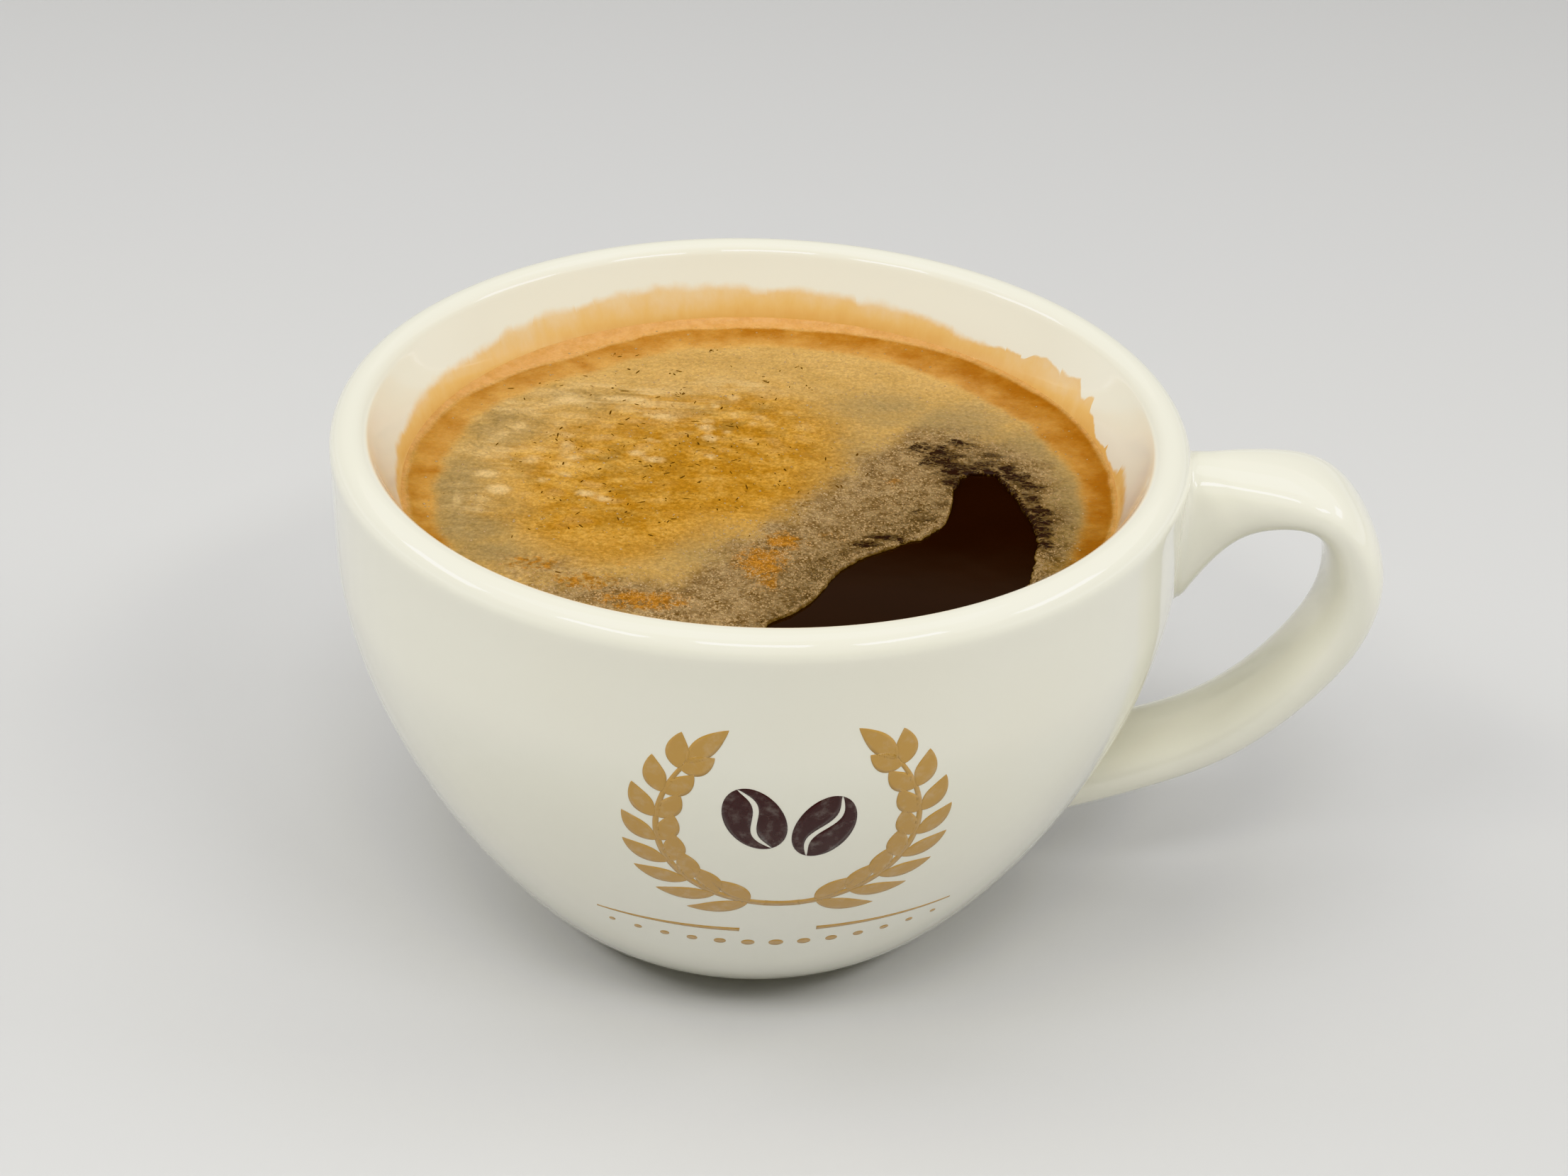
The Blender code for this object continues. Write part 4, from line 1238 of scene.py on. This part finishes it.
class AMERICANO_OT_ornament(bpy.types.Operator):
    """Print a plain wreath of leaves with two coffee beans, and a line of dots, on the front"""

    bl_idname = "americano.ornament"
    bl_label = "Ornament"

    def execute(self, context):
        cup, settings = context.scene.americano_cup, context.scene.americano_print
        gold = print_material("print_gold", settings.gold)
        dark = print_material("print_dark", settings.dark)
        self.put("print_leaves", self.sprigs(), cup, settings, gold)
        self.put("print_beans", self.beans(), cup, settings, dark)
        self.put("print_line", self.dots(), cup, settings, gold)
        return {"FINISHED"}

    @staticmethod
    def put(name, sheets, cup, settings, material):
        """Lay flat grids on the wall as one piece of thin closed shells that start in the glaze."""
        points, faces, start = [], [], 0
        for sheet in sheets:
            rows, columns = sheet.shape[:2]
            quads = sheet_faces(rows, columns)
            a, b, c = (sheet.reshape(-1, 2)[quads[:, k]] for k in (0, 1, 2))
            turned = (b - a)[:, 0] * (c - b)[:, 1] - (b - a)[:, 1] * (c - b)[:, 0]
            if turned.sum() < 0.0:
                quads = quads[:, ::-1]
            top, low = (on_the_wall(sheet[..., 0], sheet[..., 1], cup, settings, lift).reshape(-1, 3)
                        for lift in (settings.lift, -settings.lift))
            top, quads = shell(top, low, quads)
            points.append(top)
            faces.append(quads + start)
            start += len(top)
        new_piece(name, np.concatenate(points), [np.concatenate(faces)], material)

    @staticmethod
    def sprigs():
        """Two stems, each an arc of a circle from 98 degrees under its middle to 38 over it, with eight
        pairs of leaves that shorten upwards, and one leaf at the tip."""
        sheets = []
        radius, steps = 10.5 * MM, 60
        for side in (-1.0, 1.0):
            angle = np.linspace(math.radians(-98), math.radians(38), steps)
            stem = np.stack([side * radius * np.cos(angle), radius * np.sin(angle)], axis=1)
            sheets.append(stroke(stem, np.linspace(0.42, 0.18, steps) * MM, 3))
            for k, at in enumerate(np.radians(np.linspace(-76, 34, 8))):
                base = (side * radius * math.cos(at), radius * math.sin(at))
                length = (5.2 - 0.25 * k) * MM
                for lean, share, curl in ((0.75, 0.86, -0.5), (-0.8, 1.0, 0.5)):
                    heading = at + math.pi / 2 + lean
                    heading = heading if side > 0 else math.pi - heading
                    sheets.append(leaf(base, heading, length * share, 0.92 * MM, side * curl))
            heading = angle[-1] + math.pi / 2
            heading = heading if side > 0 else math.pi - heading
            sheets.append(leaf(stem[-1], heading, 4.6 * MM, 0.9 * MM, 0.2 * side))
        return sheets

    @staticmethod
    def beans():
        """Two coffee beans side by side, each an oval of two halves. The gap between them runs along
        sin(2.8 t) sqrt(1 - t^2), with t from -1 to 1 along the bean."""
        sheets = []
        half_length, half_width, half_gap, swing = 3.6 * MM, 2.35 * MM, 0.26 * MM, 0.75 * MM
        for side, lean in ((-1.0, 0.42), (1.0, -0.35)):
            centre = np.array([side * 2.75 * MM, (0.6 - 0.5 * side) * MM])
            t = -np.cos(np.linspace(0.06, math.pi - 0.06, 30))
            oval = np.sqrt(1.0 - t ** 2)
            seam = swing * np.sin(t * 2.8) * oval
            for half in (-1.0, 1.0):
                near, far = seam + half * half_gap * oval, half * half_width * oval
                blend = np.linspace(0.0, 1.0, 6)[None, :]
                across = near[:, None] * (1 - blend) + far[:, None] * blend
                along = np.broadcast_to(t[:, None] * half_length, across.shape)
                turned_p = across * math.cos(lean) - along * math.sin(lean) + centre[0]
                turned_q = across * math.sin(lean) + along * math.cos(lean) + centre[1]
                sheets.append(np.stack([turned_p, turned_q], axis=-1))
        return sheets

    @staticmethod
    def dots():
        """Two strokes under the wreath that thin outwards, over a row of dots that shrink towards its
        ends. A dot is a stroke along its own width whose half width is size sin(turn)."""
        sheets = []
        steps, dot_steps, dots_each_side, pitch = 40, 14, 6, 2.35 * MM
        for side in (-1.0, 1.0):
            p = side * np.linspace(3.2, 15.5, steps) * MM
            q = np.full(steps, -15.6 * MM)
            sheets.append(stroke(np.stack([p, q], axis=1), np.linspace(0.34, 0.10, steps) * MM, 3))
        turn = np.linspace(0.08, math.pi - 0.08, dot_steps)
        for k in range(-dots_each_side, dots_each_side + 1):
            size = (0.62 - 0.055 * abs(k)) * MM
            q = np.full(dot_steps, (-18.4 + 0.018 * k * k) * MM)
            spine = np.stack([k * pitch - size * np.cos(turn), q], axis=1)
            sheets.append(stroke(spine, size * np.sin(turn), 5))
        return sheets


# The studio

# The camera's sensor in mm, and its nearest and farthest view in metres
SENSOR_WIDTH = 36.0
CLIP_START = 0.01
CLIP_END = 20.0

# Rings of the floor in metres, and its faces round
FLOOR_RINGS = (0.3, 1.0, 3.0, 9.0)
FLOOR_SIDES = 48

# Soft lights: name, place and size in metres, power in watts. Three strips stand in a row 0.8 m from
# the point that all lights face, 58 degrees up
LIGHT_AIM = (AXIS_X, 0.0, 0.04)
LIGHT_COLOUR = (1.0, 0.99, 0.97)
STRIP_UP = math.radians(58.0)
STRIP_Y = -0.8 * math.cos(STRIP_UP)
STRIP_Z = 0.04 + 0.8 * math.sin(STRIP_UP)
LIGHTS = [
    ("light_over", (-0.05, 0.10, 0.85), (0.90, 0.50), 2.1),
    ("light_strip_1", (-0.42, STRIP_Y, STRIP_Z), (0.28, 0.12), 1.4),
    ("light_strip_2", (0.0, STRIP_Y, STRIP_Z), (0.28, 0.12), 1.4),
    ("light_strip_3", (0.42, STRIP_Y, STRIP_Z), (0.28, 0.12), 1.4),
    ("light_strip_left", (-0.64, 0.02, 0.52), (0.34, 0.12), 1.1),
    ("light_strip_right", (0.62, 0.02, 0.52), (0.34, 0.12), 1.1),
]

# The sky by the sine of the height over the horizon: sine, level, blue as a share of the level
SKY_STOPS = [(0.05, 0.85, 1.0), (0.20, 0.12, 1.0), (0.512, 0.12, 1.0), (0.53, 1.2, 0.8),
             (0.60, 0.64, 1.0), (1.0, 0.56, 1.0)]
SKY_STRENGTH = 0.53
# The glow at both sides: its direction, and the strength's rise with the cosine of the angle to it
GLOW_DIRECTION = (0.87, 0.0, 0.49)
GLOW_RISE = {"From Min": 0.55, "From Max": 1.0, "To Min": 1.0, "To Max": 3.0}


def area_light(name, place, size, power):
    """A rectangular soft light that faces the cup."""
    lamp = bpy.data.lights.new(name, "AREA")
    lamp.shape = "RECTANGLE"
    lamp.size, lamp.size_y = size
    lamp.energy = power
    lamp.color = LIGHT_COLOUR
    light = bpy.data.objects.new(name, lamp)
    light.location = place
    light.rotation_euler = (Vector(LIGHT_AIM) - Vector(place)).to_track_quat("-Z", "Y").to_euler()
    bpy.context.scene.collection.objects.link(light)


def swung(first, second, angle):
    """Two axes at right angles, turned by an angle from the first towards the second:
    a cos + b sin and b cos - a sin."""
    return (first * math.cos(angle) + second * math.sin(angle),
            second * math.cos(angle) - first * math.sin(angle))


class AMERICANO_OT_stage(bpy.types.Operator):
    """Set the pale floor, the soft lights and the camera"""

    bl_idname = "americano.stage"
    bl_label = "Stage"

    def execute(self, context):
        studio = context.scene.americano_studio
        self.floor(studio)
        for light in LIGHTS:
            area_light(*light)
        self.sky(context)
        self.camera(context, studio)
        return {"FINISHED"}

    @staticmethod
    def floor(studio):
        """A flat round floor: rings of points at growing distance from the cup, all at z = 0."""
        rings, sides = len(FLOOR_RINGS), FLOOR_SIDES
        radius = np.array(FLOOR_RINGS)[:, None]
        turn = np.linspace(0.0, 2.0 * math.pi, sides, endpoint=False)
        grid = np.stack([radius * np.cos(turn), radius * np.sin(turn), 0.0 * radius * turn], axis=-1)
        points = np.concatenate([grid.reshape(-1, 3), [[0.0, 0.0, 0.0]]])
        faces = grid_faces(rings, sides)[:, ::-1].tolist() + fan(rings * sides, np.arange(sides)).tolist()
        mesh = bpy.data.meshes.new("floor")
        mesh.from_pydata(points.tolist(), [], faces)
        n = Nodes("floor_pale")
        tone = n.mix(n.noise(2.0), studio.floor, scaled(studio.floor, (0.97, 0.97, 0.97)))
        mesh.materials.append(n.finish(Base_Color=tone, Roughness=0.75))
        floor = bpy.data.objects.new("floor", mesh)
        bpy.context.scene.collection.objects.link(floor)

    @staticmethod
    def sky(context):
        """A sky that is pale at the horizon, dim above it, bright and at first warm from about 32
        degrees up, and glows softly at both sides."""
        world = bpy.data.worlds.new("soft_sky")
        world.use_nodes = True
        tree = world.node_tree
        background = tree.nodes["Background"]
        way = tree.nodes.new("ShaderNodeTexCoord").outputs["Generated"]
        split = tree.nodes.new("ShaderNodeSeparateXYZ")
        sky = tree.nodes.new("ShaderNodeValToRGB")
        while len(sky.color_ramp.elements) < len(SKY_STOPS):
            sky.color_ramp.elements.new(0.5)
        for stop, (height, level, blue) in zip(sky.color_ramp.elements, SKY_STOPS):
            stop.position = height
            stop.color = (level * 0.98, level * (0.5 + 0.49 * blue), level * blue, 1.0)
        mirrored = tree.nodes.new("ShaderNodeVectorMath")
        mirrored.operation = "ABSOLUTE"
        facing = tree.nodes.new("ShaderNodeVectorMath")
        facing.operation = "DOT_PRODUCT"
        facing.inputs[1].default_value = GLOW_DIRECTION
        glow = tree.nodes.new("ShaderNodeMapRange")
        glow.interpolation_type = "SMOOTHSTEP"
        for key, value in GLOW_RISE.items():
            glow.inputs[key].default_value = value
        strength = tree.nodes.new("ShaderNodeMath")
        strength.operation = "MULTIPLY"
        strength.inputs[1].default_value = SKY_STRENGTH
        for output, socket in ((way, split.inputs[0]), (split.outputs["Z"], sky.inputs[0]),
                               (sky.outputs["Color"], background.inputs["Color"]),
                               (way, mirrored.inputs[0]), (mirrored.outputs["Vector"], facing.inputs[0]),
                               (facing.outputs["Value"], glow.inputs["Value"]),
                               (glow.outputs["Result"], strength.inputs[0]),
                               (strength.outputs[0], background.inputs["Strength"])):
            tree.links.new(output, socket)
        context.scene.world = world
        context.scene.view_settings.view_transform = "Khronos PBR Neutral"

    @staticmethod
    def camera(context, studio):
        """The camera looks at the middle of the rim from its distance and elevation, and is then
        panned, tilted and rolled so the cup sits in the frame as in the photograph."""
        back = Vector((0.0, -math.cos(studio.elevation), math.sin(studio.elevation)))
        forward = -back
        right = Vector((1.0, 0.0, 0.0))
        up = right.cross(forward)
        forward, right = swung(forward, right, studio.pan)
        forward, up = swung(forward, up, studio.tilt)
        right, up = swung(right, up, studio.roll)
        turned = Matrix((right, up, -forward)).transposed().to_4x4()
        place = Matrix.Translation(back * studio.distance)
        round_cup = Matrix.Rotation(studio.azimuth, 4, "Z")
        rim = Matrix.Translation((AXIS_X, 0.0, studio.aim_height))
        data = bpy.data.cameras.new("camera")
        data.sensor_width = SENSOR_WIDTH
        data.lens = studio.lens
        data.clip_start, data.clip_end = CLIP_START, CLIP_END
        camera = bpy.data.objects.new("camera", data)
        camera.matrix_world = rim @ round_cup @ place @ turned
        context.scene.collection.objects.link(camera)
        context.scene.camera = camera


OPERATORS = (
    AMERICANO_OT_cup_wall,
    AMERICANO_OT_cup_handle,
    AMERICANO_OT_coffee,
    AMERICANO_OT_crema,
    AMERICANO_OT_bubbles,
    AMERICANO_OT_ornament,
    AMERICANO_OT_stage,
)
SETTINGS = (
    ("americano_cup", CupSettings),
    ("americano_drink", DrinkSettings),
    ("americano_print", PrintSettings),
    ("americano_studio", StudioSettings),
)


class AMERICANO_PT_panel(bpy.types.Panel):
    """Sidebar panel with the settings and one button for each piece"""

    bl_label = "Americano"
    bl_idname = "AMERICANO_PT_panel"
    bl_space_type = "VIEW_3D"
    bl_region_type = "UI"
    bl_category = "Americano"

    def draw(self, context):
        for operator in OPERATORS:
            self.layout.operator(operator.bl_idname)
        for name, group in SETTINGS:
            box = self.layout.box()
            for key in group.__annotations__:
                box.prop(getattr(context.scene, name), key)


def register():
    """Register the settings, the operators and the panel."""
    for name, group in SETTINGS:
        bpy.utils.register_class(group)
        setattr(bpy.types.Scene, name, PointerProperty(type=group))
    for operator in OPERATORS:
        bpy.utils.register_class(operator)
    bpy.utils.register_class(AMERICANO_PT_panel)


def unregister():
    """Take back what register did."""
    bpy.utils.unregister_class(AMERICANO_PT_panel)
    for operator in reversed(OPERATORS):
        bpy.utils.unregister_class(operator)
    for name, group in reversed(SETTINGS):
        delattr(bpy.types.Scene, name)
        bpy.utils.unregister_class(group)


def main():
    """Make every piece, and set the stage."""
    register()
    bpy.ops.americano.cup_wall()
    bpy.ops.americano.cup_handle()
    bpy.ops.americano.coffee()
    bpy.ops.americano.crema()
    bpy.ops.americano.bubbles()
    bpy.ops.americano.ornament()
    bpy.ops.americano.stage()


if __name__ == "__main__":
    main()
